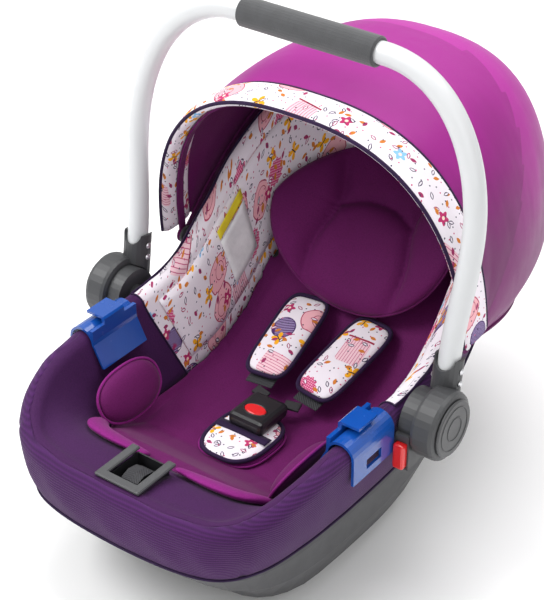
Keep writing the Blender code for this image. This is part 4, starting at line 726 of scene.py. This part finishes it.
def into_seat(rows):
    """Unit normals of inside rows that point away from the child, down into the padding."""
    across = np.gradient(rows, axis=0)
    along = np.roll(rows, -1, axis=1) - np.roll(rows, 1, axis=1)
    along[-1] = along[-2]
    normals = np.cross(along, across)
    normals /= np.maximum(np.linalg.norm(normals, axis=2), 1e-9)[:, :, None]
    return normals * np.where(normals[:, :, 2] > 0, -1.0, 1.0)[:, :, None]


def dent(distance, width, depth):
    """The profile of a sewn seam: how far the cloth dips at a distance from the stitches."""
    return depth * np.exp(-(distance / width) ** 2)


print("outline points", COLUMNS, "rim length", round(float(np.linalg.norm(run, axis=1).sum() / 2), 3), "m")

# %% [markdown]
# ## The cover
# One cover hugs the rim: ribbed mesh outside, a smooth violet lining at the foot end and the cotton print
# from the hubs round the head end. It is a closed sleeve, with seams pressed in where two panels meet.
# %% Cover with its seams
WALLS = np.linspace(0.0, 0.95, 9)
INSIDE = inside(WALLS, ())
cover_rows = [outer_wall(t) for t in np.linspace(1.0, 0.0, 12)]
roll_angles = (70, 50, 32, 18, 8, 3, 0, -3, -8, -20, -38, -58, -75)
cover_rows += [rim_roll(a) for a in roll_angles]
crest_row = 12 + roll_angles.index(0)
cover_rows += list(INSIDE[1:])
depth = into_seat(INSIDE)
inner_back = [INSIDE[k] + depth[k] * 0.006 for k in range(len(WALLS) - 1, -1, -2)]
back = inner_back + [rim_roll(a, -0.006) for a in (-50, -10, 30)]
back += [outer_wall(t, -0.003) for t in (0.0, 0.5, 1.0)]
points = np.array(cover_rows + back)
columns = np.arange(COLUMNS)
fold = np.minimum(columns, COLUMNS - columns)
corner = station(2.55)
for r in range(len(cover_rows)):
    to_corner = np.abs(fold - corner) * 0.0058
    press = dent(to_corner, 0.0022, 0.0016) if r < crest_row + 1 else 0.0
    front = np.clip((station(5) - fold) / station(2), 0, 1)
    if abs(r - crest_row) <= 1:
        points[r] -= UP * (0.0016 if r == crest_row else 0.0005) * front[:, None]
    points[r] -= OUTWARD * np.atleast_1d(press)[:, None] if r < crest_row else 0.0
    if r <= crest_row:
        points[r] += OUTWARD * (0.0009 * np.sin(columns * 0.9 + r * 0.35) * np.sin(r * 0.28))[:, None]
mesh = grid_mesh("seat_cover_cloth", points, ring_rows=True, ring_columns=True)
mesh.materials.append(MESH_VIOLET)
mesh.materials.append(DEEP_VIOLET)
mesh.materials.append(PRINT)
print_start = station(6.45)
for face in mesh.polygons:
    r, c = divmod(face.index, COLUMNS)
    side = min(c, COLUMNS - 1 - c)
    if r >= crest_row - 3 and side >= print_start:
        face.material_index = 2
    elif r >= crest_row:
        face.material_index = 1
cover = shown("seat_cover_cloth", mesh, "shell", "cover_mesh", None, "seat_cover")
low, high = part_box("adjuster_tray")
cutter = bpy.data.meshes.new("pit")
bm = bmesh.new()
bmesh.ops.create_cube(bm, size=1.0)
for v in bm.verts:
    v.co = [low[k] - 0.0006 if v.co[k] < 0 else high[k] + 0.0006 for k in range(3)]
    v.co.z = 0.12 if v.co.z < 0.15 else 0.21
bm.to_mesh(cutter)
bm.free()
pit = bpy.data.objects.new("pit", cutter)
scene.collection.objects.link(pit)
cut = cover.modifiers.new("pit", "BOOLEAN")
cut.object = pit
cut.solver = "EXACT"
settle(cover)
bpy.data.objects.remove(pit, do_unlink=True)
print("cover", len(cover.data.polygons), "faces")

# %% [markdown]
# Piping hides the seam where the lining meets the print and finishes the hem.
# %% Piping on the cover
def rim_run(start, end, angle=0.0, out=0.0008):
    """A run of points along the padded rim between two columns."""
    row = rim_roll(angle, out)
    return [row[c % COLUMNS] for c in range(start, end + 1)]


piping("rim_piping", rim_run(print_start, COLUMNS - print_start, 24.0), "shell", 0.0013)
hem = outer_wall(1.0, 0.0008)
piping("hem_piping", [hem[c] for c in range(COLUMNS)], "shell", 0.0016, closed=True)
for name, side in SIDES:
    column = print_start if side > 0 else COLUMNS - print_start
    path = [rim_roll(a, 0.0006)[column] for a in (24, 10, -5, -20, -40, -60, -80)]
    path += [INSIDE[k][column] - depth[k][column] * 0.0006 for k in range(1, len(WALLS))]
    piping("print_edge_" + name, path, "shell", 0.0012)
print("rim piping from column", print_start)

# %% [markdown]
# ## The side panel
# A padded printed panel lies on the inner walls from hub to hub. It is a thin quilt, so it keeps an even
# thickness and rounds off at its edges.
# %% Printed side panel
def quilt(name, columns, walls, thickness, gap, material, slot):
    """A thin padded panel on the inner wall, rounded at its edges."""
    rows = inside(walls, ())
    normal = into_seat(rows)
    count = len(walls)
    section = []
    for column in columns:
        edge = min(column - columns[0], columns[-1] - column)
        swell = min(1.0, 0.35 + 0.22 * edge)
        front, rear = [], []
        for k in range(count):
            rise = 0.25
            if 0 < k < count - 1:
                rise = swell * math.sqrt(max(0.0, 1 - (2 * k / (count - 1) - 1) ** 6))
            base = rows[k][column % COLUMNS]
            away = normal[k][column % COLUMNS]
            front.append(base - away * (gap + thickness * rise))
            rear.append(base - away * gap)
        section.append(front + rear[::-1])
    mesh = tidy_mesh(grid_mesh(name, section, ring_columns=True))
    return shown(name, mesh, "shell", slot, material)


liner = quilt("side_liner_print", list(range(print_start + 3, COLUMNS - print_start - 2)),
              np.linspace(0.02, 0.80, 10), 0.0050, 0.0008, PRINT, "printed_fabric")
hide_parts("side_liner")
print("side panel", len(liner.data.polygons), "faces")

# %% [markdown]
# ## Stuffed cushions
# A stuffed piece is inflated as cloth: the plain form is remeshed, filled with a little pressure, and every
# point is held to a small cap. Seams are pressed in afterwards, because remeshing would wipe them out.
# %% Inflate and press seams
def inflate(mesh, voxel, cap, pressure=4.0, frames=20):
    """Fill a closed form as cloth under pressure and return the new mesh."""
    obj = bpy.data.objects.new("stuffing", mesh)
    scene.collection.objects.link(obj)
    remesh = obj.modifiers.new("even", "REMESH")
    remesh.mode = "VOXEL"
    remesh.voxel_size = voxel
    start = baked(obj)
    before = read_points(start)
    obj = bpy.data.objects.new("stuffing", start)
    scene.collection.objects.link(obj)
    cloth = obj.modifiers.new("cloth", "CLOTH")
    cloth.settings.use_pressure = True
    cloth.settings.uniform_pressure_force = pressure
    cloth.settings.effector_weights.gravity = 0.0
    cloth.settings.quality = 4
    cloth.collision_settings.use_collision = False
    for number in range(1, frames + 1):
        scene.frame_set(number)
    filled = baked(obj)
    scene.frame_set(1)
    move = read_points(filled) - before
    size = np.linalg.norm(move, axis=1)
    move *= np.minimum(1.0, cap / np.maximum(size, 1e-9))[:, None]
    filled.vertices.foreach_set("co", (before + move).ravel())
    return filled


def press_seams(mesh, lines, width, depth, inward):
    """Dip a mesh along lines of points, towards the stuffing."""
    co = read_points(mesh)
    normal = np.empty(len(mesh.vertices) * 3, np.float32)
    mesh.vertices.foreach_get("normal", normal)
    normal = normal.reshape(-1, 3)
    near = np.full(len(co), 1.0)
    for line in lines:
        line = np.asarray(line, float)
        for a, b in zip(line, line[1:]):
            ab = b - a
            t = np.clip(((co - a) @ ab) / max(ab @ ab, 1e-12), 0, 1)
            near = np.minimum(near, np.linalg.norm(co - (a + t[:, None] * ab), axis=1))
    facing = np.clip(normal @ np.array(inward, float) * -2, 0, 1)[:, None]
    co -= normal * (dent(near, width, depth))[:, None] * facing
    mesh.vertices.foreach_set("co", co.ravel())
    mesh.update()


def smoother(obj, levels=1):
    """One level of subdivision."""
    modifier = obj.modifiers.new("smooth", "SUBSURF")
    modifier.levels = levels
    modifier.render_levels = levels


print("simulating")

# %% [markdown]
# ## The insert and its lip
# The insert lines the seat floor and the back. It is sewn from a plum top and stuffed with thin foam, so it
# swells between its seams. The lip at the front is a folded orchid edge with a notch for the adjuster.
# %% Seat insert
FLOORS = np.concatenate([[-0.09], np.linspace(0.03, 1.0, 13)])
floor_rows = inside([0.5, 0.80, 0.88], FLOORS[1:])
floor_down = into_seat(floor_rows)[2:]
floor_rows = floor_rows[2:]
twin = (-np.arange(COLUMNS)) % COLUMNS
last = (floor_down[-1] + floor_down[-1][twin]) * np.array([0.0, 1.0, 1.0])
floor_down[-1] = last / np.linalg.norm(last, axis=1)[:, None]
fullness = np.minimum(1.0, 0.30 + 1.6 * np.sin(np.clip((FLOORS - FLOORS[0]) * 2.2, 0, math.pi / 2)))
tops = [floor_rows[k] - floor_down[k] * 0.0042 * fullness[k] for k in range(len(FLOORS))]
bottoms = [floor_rows[k] + floor_down[k] * (0.0125 if k > 1 else 0.002)
           for k in range(len(FLOORS) - 1, -1, -1)]
mesh = tidy_mesh(grid_mesh("seat_insert_cushion", tops + bottoms, ring_rows=True, ring_columns=True))
mesh = inflate(mesh, 0.005, 0.0035)


def on_seat(x, y, lift=0.004):
    """A point on the seat's middle floor."""
    return (x, y + AXIS_Y, float(seat_line(y + AXIS_Y)) + lift)


seams = [[on_seat(side * (0.060 + 0.012 * math.sin(t * 3)), -0.11 + 0.30 * t) for t in np.linspace(0, 1, 18)]
         for side in (-1, 1)]
seams += [[on_seat(x, y) for x in np.linspace(-0.085, 0.085, 12)] for y in (-0.055, 0.115)]
press_seams(mesh, seams, 0.0045, 0.0032, (0, 0, -1))
insert = shown("seat_insert_cushion", mesh, "shell", "insert_fabric", KNIT_PLUM, "seat_insert")
smoother(insert)
print("insert", len(insert.data.polygons), "faces")

# %% Orchid lip at the insert's front
lip_row = into_seat(inside([0.75, 0.85, 0.95], ()))
lip_base = inside([0.75, 0.85, 0.95], ())
for name, side in SIDES:
    first, final = (station(0.22), station(3.4))
    columns = range(first, final + 1)
    path, widths = [], []
    for c in columns:
        column = c if side > 0 else (COLUMNS - c) % COLUMNS
        t = (c - first) / (final - first)
        path.append(lip_base[1][column] - lip_row[1][column] * 0.0055)
        widths.append(0.35 + 0.65 * math.sin(math.pi * min(0.5, 0.06 + t * 1.6)) if t < 0.6
                      else max(0.25, math.cos((t - 0.6) / 0.4 * math.pi / 2)))
    path = np.array(path)
    rings = []
    for k, (point, wide) in enumerate(zip(path, widths)):
        column = (first + k) if side > 0 else (COLUMNS - first - k) % COLUMNS
        down = lip_base[2][column] - lip_base[0][column]
        down = down / np.linalg.norm(down)
        away = -lip_row[1][column]
        rings.append([point + down * math.cos(a) * 0.0165 * wide + away * math.sin(a) * 0.0052 * wide
                      for a in np.linspace(0, PI2, 20, endpoint=False)])
    mesh = tidy_mesh(grid_mesh("insert_lip_" + name, rings, ring_columns=True))
    lip = shown("insert_lip_" + name, mesh, "shell", "insert_fabric", KNIT_ORCHID)
    smoother(lip)
print("lip sides", [name for name, side in SIDES])

# %% [markdown]
# ## Flat cushions and pads
# A pad is an outline with two crowned faces that meet in a seam. The same helper makes the wings and the pads
# of the harness; corded piping follows the seam.
# %% Crowned pads
def framed(origin, along, up):
    """A frame with X along a direction and Z nearest to another."""
    x = Vector(along).normalized()
    y = Vector(up).cross(x).normalized()
    z = x.cross(y)
    matrix = Matrix((x, y, z)).transposed().to_4x4()
    matrix.translation = Vector(origin)
    return matrix


def superellipse(half_long, half_wide, power, count=72, taper=0.0):
    """An outline between an ellipse and a rectangle; taper narrows its far end."""
    out = []
    for k in range(count):
        a = PI2 * k / count
        c, s = math.cos(a), math.sin(a)
        u, v = signed_power(c, 2 / power), signed_power(s, 2 / power)
        out.append((u * half_long, v * half_wide * (1 - taper * max(u, 0.0) ** 2)))
    return out


def crowned(outline, matrix, front, back, rings=9, roundness=0.62):
    """A closed pad: two crowned faces over an outline."""
    rows = []
    for sign, height in ((1, front), (-1, back)):
        steps = np.linspace(0.03, 1.0, rings)
        if sign < 0:
            steps = steps[-2::-1]
        for s in steps:
            rise = height * max(0.0, 1 - s ** 2.6) ** roundness
            rows.append([matrix @ Vector((u * s, v * s, sign * rise)) for u, v in outline])
    return [[tuple(p) for p in row] for row in rows]


def pad_piece(name, outline, matrix, front, back, body, slot, material, *replaced, cord, cord_look=None):
    """A crowned pad on stage with its piping."""
    mesh = tidy_mesh(grid_mesh(name, crowned(outline, matrix, front, back), ring_columns=True))
    flat_uv(mesh, matrix @ Matrix.Translation((len(name) * 0.031, matrix.translation.x * 3, 0)))
    pad = shown(name, mesh, body, slot, material, *replaced)
    smoother(pad)
    edge = [matrix @ Vector((u * 1.005, v * 1.005, 0.0)) for u, v in outline]
    piping(name + "_piping", edge, body, cord, True, cord_look)


for name, side in SIDES:
    lean = Matrix.Rotation(side * math.radians(27), 4, "Y")
    place = Matrix.Translation((side * 0.1150, -0.098 + AXIS_Y, 0.153)) @ lean
    turn = Matrix.Rotation(-side * math.pi / 2, 4, "Y")
    outline = superellipse(0.0290, 0.0480, 2.4, taper=0.10)
    pad_piece("thigh_wing_pad_" + name, outline, place @ turn, 0.0115, 0.006, "shell", "insert_fabric",
              KNIT_PLUM, "thigh_wing_" + name, cord=0.0017, cord_look=KNIT_ORCHID)
print("wings", [name for name, side in SIDES])

# %% [markdown]
# ## The head pillow
# The pillow is sewn from four panels: two crescent bolsters that stand forward at the sides, a flatter panel
# at the top and a puffed one behind the head. Each point's height depends on its distance from the nearest
# seam, so the cloth dives into the seams and swells between them, as stuffing makes it do.
# %% Head pillow with its panels
BACK = math.radians(52)
up_back = Vector((0, math.cos(BACK), math.sin(BACK)))
out_back = Vector((0, -math.sin(BACK), math.cos(BACK)))
pillow_turn = Matrix((Vector((1, 0, 0)), up_back, out_back)).transposed().to_4x4()
pillow_place = Matrix.Translation((0, 0.2052 + AXIS_Y, 0.2538)) @ pillow_turn
PILLOW_HALF = (0.1215, 0.0990)
PILLOW_TAPER, PILLOW_WRAP = 0.20, 0.036


def eased(rows, count):
    """Rows read finely from a smooth curve through them."""
    out = []
    for t in np.linspace(0, len(rows) - 1, count):
        i = min(int(t), len(rows) - 2)
        out.append(through([rows[min(max(i + k, 0), len(rows) - 1)] for k in (-1, 0, 1, 2)], t - i))
    return np.array(out)


SEAM_POINTS = 40
side_seam = eased(np.array(((-0.070, 0.092), (-0.056, 0.050), (-0.050, 0.014), (-0.063, -0.040),
                            (-0.056, -0.104))), SEAM_POINTS)
head_seam = eased(np.array(((-0.052, 0.012), (-0.026, 0.026), (0.0, 0.030), (0.026, 0.026),
                            (0.052, 0.012))), SEAM_POINTS)
pillow_seams = [side_seam, side_seam * np.array([-1.0, 1.0]), head_seam]


def seam_distance(u, v, lines):
    """Distance of points from the nearest of some curves."""
    near = np.full(u.shape, 1.0)
    for line in lines:
        for x, y in line:
            near = np.minimum(near, np.hypot(u - x, v - y))
    return near


turns = np.linspace(0, PI2, 128, endpoint=False)
shares = np.concatenate([np.linspace(0.02, 0.80, 26), [0.85, 0.89, 0.93, 0.96, 0.98, 0.995]])
S, A = np.meshgrid(shares, turns, indexing="ij")
U = PILLOW_HALF[0] * S * np.cos(A) * (1 - PILLOW_TAPER * S * np.maximum(np.sin(A), 0))
V = PILLOW_HALF[1] * S * np.sin(A)
near = seam_distance(U, V, pillow_seams)
inner_x = np.interp(V, side_seam[::-1, 1], -side_seam[::-1, 0])
crescent = np.clip((np.abs(U) - inner_x) / 0.008, 0, 1)
head_height = np.interp(np.abs(U), -head_seam[:21, 0][::-1], head_seam[:21, 1][::-1])
top_panel = np.clip((V - head_height) / 0.006, 0, 1)
amount = 0.0150 * (1 - crescent) * (1 - top_panel) + 0.0080 * (1 - crescent) * top_panel + 0.0165 * crescent
puff = (amount * (1 - np.exp(-near / 0.0095)) - 0.0028 * np.exp(-near / 0.0030)
        + 0.0010 * np.sin(U * 90 + V * 40) * (1 - np.exp(-near / 0.02)))
edge = np.sqrt(np.maximum(0.0, 1 - S ** 7))
wrap = PILLOW_WRAP * (U / 0.121) ** 2
front = (0.0020 + puff) * edge + wrap
rear = -0.0120 * edge + wrap
rows = []
for height, order in ((front, range(len(shares))), (rear, range(len(shares) - 1, -1, -1))):
    for k in order:
        rows.append([tuple(pillow_place @ Vector((U[k, j], V[k, j], height[k, j])))
                     for j in range(len(turns))])
mesh = tidy_mesh(grid_mesh("head_pillow_cloth", rows, ring_columns=True))
pillow = shown("head_pillow_cloth", mesh, "shell", "insert_fabric", KNIT_PLUM, "head_pillow_ring",
               "head_pillow_cushion")
smoother(pillow)
edge_line = []
for t in turns:
    wide = math.cos(t) * (1 - PILLOW_TAPER * max(math.sin(t), 0))
    edge_line.append(tuple(pillow_place @ Vector((PILLOW_HALF[0] * wide, PILLOW_HALF[1] * math.sin(t),
                                                  PILLOW_WRAP * wide ** 2))))
piping("head_pillow_seam", edge_line, "shell", 0.0014, True, KNIT_PLUM)
print("pillow", len(pillow.data.polygons), "faces")

# %% [markdown]
# ## Harness pads
# The shoulder pads wrap the straps and the crotch pad lies under the buckle. They are cut from the print,
# bound with dark tape.
# %% Pads of the harness
for name, side in SIDES:
    start = Vector((side * 0.033, 0.034 + AXIS_Y, 0.131))
    end = Vector((side * 0.046, 0.150 + AXIS_Y, 0.168))
    matrix = framed((start + end) / 2, end - start, (0, -0.3, 1))
    matrix = matrix @ Matrix.Translation((0, 0, 0.0045))
    outline = superellipse((end - start).length / 2, 0.0265, 5.0)
    pad_piece("shoulder_pad_cloth_" + name, outline, matrix, 0.0072, 0.0045, "shell", "printed_fabric", PRINT,
              "shoulder_pad_" + name, cord=0.0026)
middle = Vector((0, (-0.004 - 0.093) / 2 + AXIS_Y, 0.1130))
matrix = framed(middle, (0, -1, 0), (0, 0, 1))
pad_piece("crotch_pad_cloth", superellipse(0.0440, 0.0365, 3.4, taper=0.18), matrix, 0.0046, 0.0034, "shell",
          "printed_fabric", PRINT, "crotch_pad", cord=0.0025)
matrix = framed(middle - UP_VECTOR * 0.0062, (0, -1, 0), (0, 0, 1))
pad_piece("crotch_backing_cloth", superellipse(0.0425, 0.0410, 3.4, taper=0.10), matrix, 0.0030, 0.0020,
          "shell", "insert_fabric", KNIT_ORCHID, "crotch_pad_backing", cord=0.0012, cord_look=KNIT_ORCHID)
tape = [(x, y + AXIS_Y, 0.1176 + 0.0010 * math.cos(x * 40)) for y in (-0.0520, -0.0395)
        for x in np.linspace(-0.0345, 0.0345, 24)]
mesh = grid_mesh("crotch_tape", np.array(tape).reshape(2, 24, 3))
band = shown("crotch_tape", mesh, "shell", "printed_fabric", PIPING)
thick = band.modifiers.new("thick", "SOLIDIFY")
thick.thickness = 0.0008
print("harness pads dressed")

# %% [markdown]
# ## Buckle
# The housing is the CAD one; a rim round the red button makes the press plate read as a separate part.
# %% Buckle collar
low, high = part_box("buckle_button")
centre = ((low[0] + high[0]) / 2, (low[1] + high[1]) / 2)
radii = ((high[0] - low[0]) / 2 + 0.0012, (high[1] - low[1]) / 2 + 0.0012)
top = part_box("buckle_housing")[1][2]
collar = [(centre[0] + radii[0] * math.cos(a), centre[1] + radii[1] * math.sin(a), top - 0.0002)
          for a in np.linspace(0, PI2, 48, endpoint=False)]
shown("buckle_collar", tube("buckle_collar", collar, 0.0009, True, 3), "shell", "black_plastic", BLACK)
print("buckle collar at", [round(v, 3) for v in centre])

# %% [markdown]
# ## The handle
# A bent tube is one smooth sweep. The path is the measured one, read finely, so no facets show in its polish.
# %% Smooth handle tube
LEAN = math.radians(8.3)


def leg_point(height, x):
    return (x, 0.023 + AXIS_Y + height * math.sin(LEAN), 0.200 + height * math.cos(LEAN))


def handle_path():
    half_grip, corner = 0.088, 0.165
    start = 0.351 - corner
    path = [(0.208, h) for h in np.linspace(0.0290, 0.062, 5)]
    for t in np.linspace(0.04, 1, 20):
        path.append((0.208 + 0.007 * t * t * (3 - 2 * t), 0.062 + (start - 0.062) * t))
    for t in np.linspace(0, 1, 34)[1:]:
        a = math.pi / 2 * t
        path.append((half_grip + (0.215 - half_grip) * max(math.cos(a), 0.0) ** 0.92,
                     start + corner * math.sin(a) ** 0.95))
    path += [(x, 0.351) for x in np.linspace(half_grip, 0.004, 8)[1:]]
    right = [leg_point(h, x) for x, h in path]
    return right + [(-x, y, z) for x, y, z in right[::-1]]


mesh = tube("handle_pipe", handle_path(), 0.0119, False, 8)
pipe = shown("handle_pipe", mesh, "handle", "handle_metal", WHITE, "handle_tube")
print("handle", len(mesh.polygons), "faces")

# %% Plain raised ring on each hub cap
for name, side in SIDES:
    low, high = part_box("hub_cap_" + name)
    face = high[0] if side > 0 else low[0]
    for index, radius in enumerate((0.0245, 0.0130)):
        ring_line = [(face, (low[1] + high[1]) / 2 + radius * math.cos(a),
                      (low[2] + high[2]) / 2 + radius * math.sin(a))
                     for a in np.linspace(0, PI2, 64, endpoint=False)]
        ring_name = "hub_ring_%s_%d" % (name, index)
        shown(ring_name, tube(ring_name, ring_line, 0.0008, True, 3), "handle", "trim_plastic", HUB_GREY)
print("hub rings done")

# %% [markdown]
# ## The hood
# The hood is one sheet of satin, drawn tight over its bows. Rows of arches are blended smoothly from the
# band to the rear hem, and small folds run back from the bows, where the cloth is gathered.
# %% Arches
HOOD_Y, HOOD_Z = 0.092 + AXIS_Y, 0.235
ARCH_POWER = 2.5
ARCH_STEPS = 120


def arch(reach, half_width, count, start=0.045):
    points = []
    for i in range(count + 1):
        a = start + (math.pi - 2 * start) * i / count
        c, s = math.cos(a), math.sin(a)
        points.append((signed_power(c, 2 / ARCH_POWER) * half_width, reach * s ** (2 / ARCH_POWER)))
    return points


def hood_point(x, reach, angle, sideways=0.0):
    return (x, HOOD_Y + reach * math.sin(angle) + sideways * math.cos(angle),
            HOOD_Z + reach * math.cos(angle) - sideways * math.sin(angle))


# %% Printed band along the hood's edge
BAND = math.radians(-6.0)
rings = []
count = 110
for i in range(count + 1):
    ring_line = []
    for t in np.linspace(0, PI2, 22, endpoint=False):
        across = signed_power(math.cos(t), 0.72) * 0.0230
        crown = signed_power(math.sin(t), 0.85) * 0.0062
        x, r = arch(0.232 + crown, 0.2010 + crown, count, 0.030)[i]
        ring_line.append(hood_point(x, r, BAND, across))
    rings.append(ring_line)
mesh = tidy_mesh(grid_mesh("canopy_band_cloth", rings, ring_columns=True))
band = shown("canopy_band_cloth", mesh, "canopy_front", "printed_fabric", PRINT, "canopy_band")
for name, offset in (("front", -0.0228), ("rear", 0.0228)):
    edge = [hood_point(x, r, BAND, offset) for x, r in arch(0.2335, 0.2025, ARCH_STEPS, 0.030)]
    piping("canopy_piping_" + name, edge, "canopy_front", 0.0021)
print("band", len(mesh.polygons), "faces")

# %% Hood sheet
ROWS = np.array(((-6, 0.2350, 0.2030, 0.0220), (8, 0.2560, 0.2010, 0.0200), (24, 0.2860, 0.2005, 0.0120),
                 (42, 0.3200, 0.2000, 0.0040), (58, 0.3330, 0.2000, 0.0), (73, 0.3360, 0.1990, 0.0),
                 (86, 0.3260, 0.1960, 0.0), (95, 0.2900, 0.1920, 0.0), (101, 0.2500, 0.1900, 0.0)))


HOOD_ROWS = 72
fine_rows = eased(ROWS, HOOD_ROWS)
sheet_rows = []
for k, (degrees, reach, half_width, setback) in enumerate(fine_rows):
    t = k / (len(fine_rows) - 1)
    line = []
    for i, (x, r) in enumerate(arch(reach - 0.0010, half_width - 0.0010, ARCH_STEPS)):
        a = i / ARCH_STEPS
        pull = 0.0012 * math.sin(a * 41 + math.sin(t * 9) * 1.5) * math.exp(-t * 9)
        slack = 0.0016 * math.sin(t * 26 + a * 7.0) * math.sin(math.pi * a) * min(1.0, t * 3)
        hollow = math.sin(math.pi * min(1.0, max(0.0, (t - 0.05) / 0.42)))
        sag = -0.0042 * hollow ** 2 * math.sin(math.pi * a)
        scale = 1 + (pull + slack + sag) / 0.30
        line.append(hood_point(x * scale, r * scale, math.radians(degrees), setback))
    sheet_rows.append(line)
mesh = grid_mesh("canopy_hood", sheet_rows)
bm = bmesh.new()
bm.from_mesh(mesh)
bmesh.ops.recalc_face_normals(bm, faces=bm.faces)
bm.faces.ensure_lookup_table()
top_face = max(bm.faces, key=lambda f: f.calc_center_median().z)
if top_face.normal.z < 0:
    bmesh.ops.reverse_faces(bm, faces=bm.faces)
bm.to_mesh(mesh)
bm.free()
for material in (HOOD_FRONT, HOOD_OUT, HOOD_IN):
    mesh.materials.append(material)
columns = len(sheet_rows[0]) - 1
# The front rows take the darker satin, the rear rows the lighter one.
for face in mesh.polygons:
    r, i = divmod(face.index, columns)
    face.material_index = 0 if r / (HOOD_ROWS - 1) + 0.10 * math.sin(math.pi * i / columns) < 0.42 else 1
hood = shown("canopy_hood", mesh, None, "canopy_satin", None, "canopy_fabric")
lining = hood.modifiers.new("lining", "SOLIDIFY")
lining.thickness = 0.0012
lining.offset = -1.0
lining.material_offset = 2
lining.material_offset_rim = 2
settle(hood)
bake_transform(hood)

# %% Rear hem
hem_line = [hood_point(x, r, math.radians(101)) for x, r in arch(0.2495, 0.1895, ARCH_STEPS)]
piping("hood_rear_hem", hem_line, "shell", 0.0022, material=HOOD_IN)
print("hood edges finished")

# %% [markdown]
# ## Labels
# Two small blank labels are sewn on the left wall. Anything written on them is left out.
# %% Blank sewn labels
def label(name, column, low_wall, high_wall, half_columns, material):
    rows = inside(np.linspace(low_wall, high_wall, 8), ())
    away = into_seat(rows)
    points = [[rows[r][(column + c) % COLUMNS] - away[r][(column + c) % COLUMNS] * 0.0084
               for c in range(-half_columns, half_columns + 1)] for r in range(8)]
    piece = shown(name, grid_mesh(name, points), "shell", "printed_fabric", material)
    thick = piece.modifiers.new("thick", "SOLIDIFY")
    thick.thickness = 0.0004


LABEL_WHITE = cord_cover("label_white", (0.82, 0.82, 0.84, 1))
LABEL_YELLOW = cord_cover("label_yellow", (0.85, 0.60, 0.03, 1))
label("label_white", COLUMNS - station(9.1), 0.16, 0.62, 3, LABEL_WHITE)
label("label_yellow", COLUMNS - station(9.1), 0.05, 0.14, 3, LABEL_YELLOW)

# %% Floor and its finish
floor_mesh = bpy.data.meshes.new("floor")
floor_mesh.from_pydata([(-6, -6, 0), (6, -6, 0), (6, 6, 0), (-6, 6, 0)], [], [(0, 1, 2, 3)])
floor = bpy.data.objects.new("floor", floor_mesh)
scene.collection.objects.link(floor)
pale = Finish("pale_floor", (0.93, 0.93, 0.93, 1), 0.65)
pale.set("Roughness", 0.60 + 0.12 * pale.noise(pale.place(), 3.0, 2.0))
floor_mesh.materials.append(pale.material)
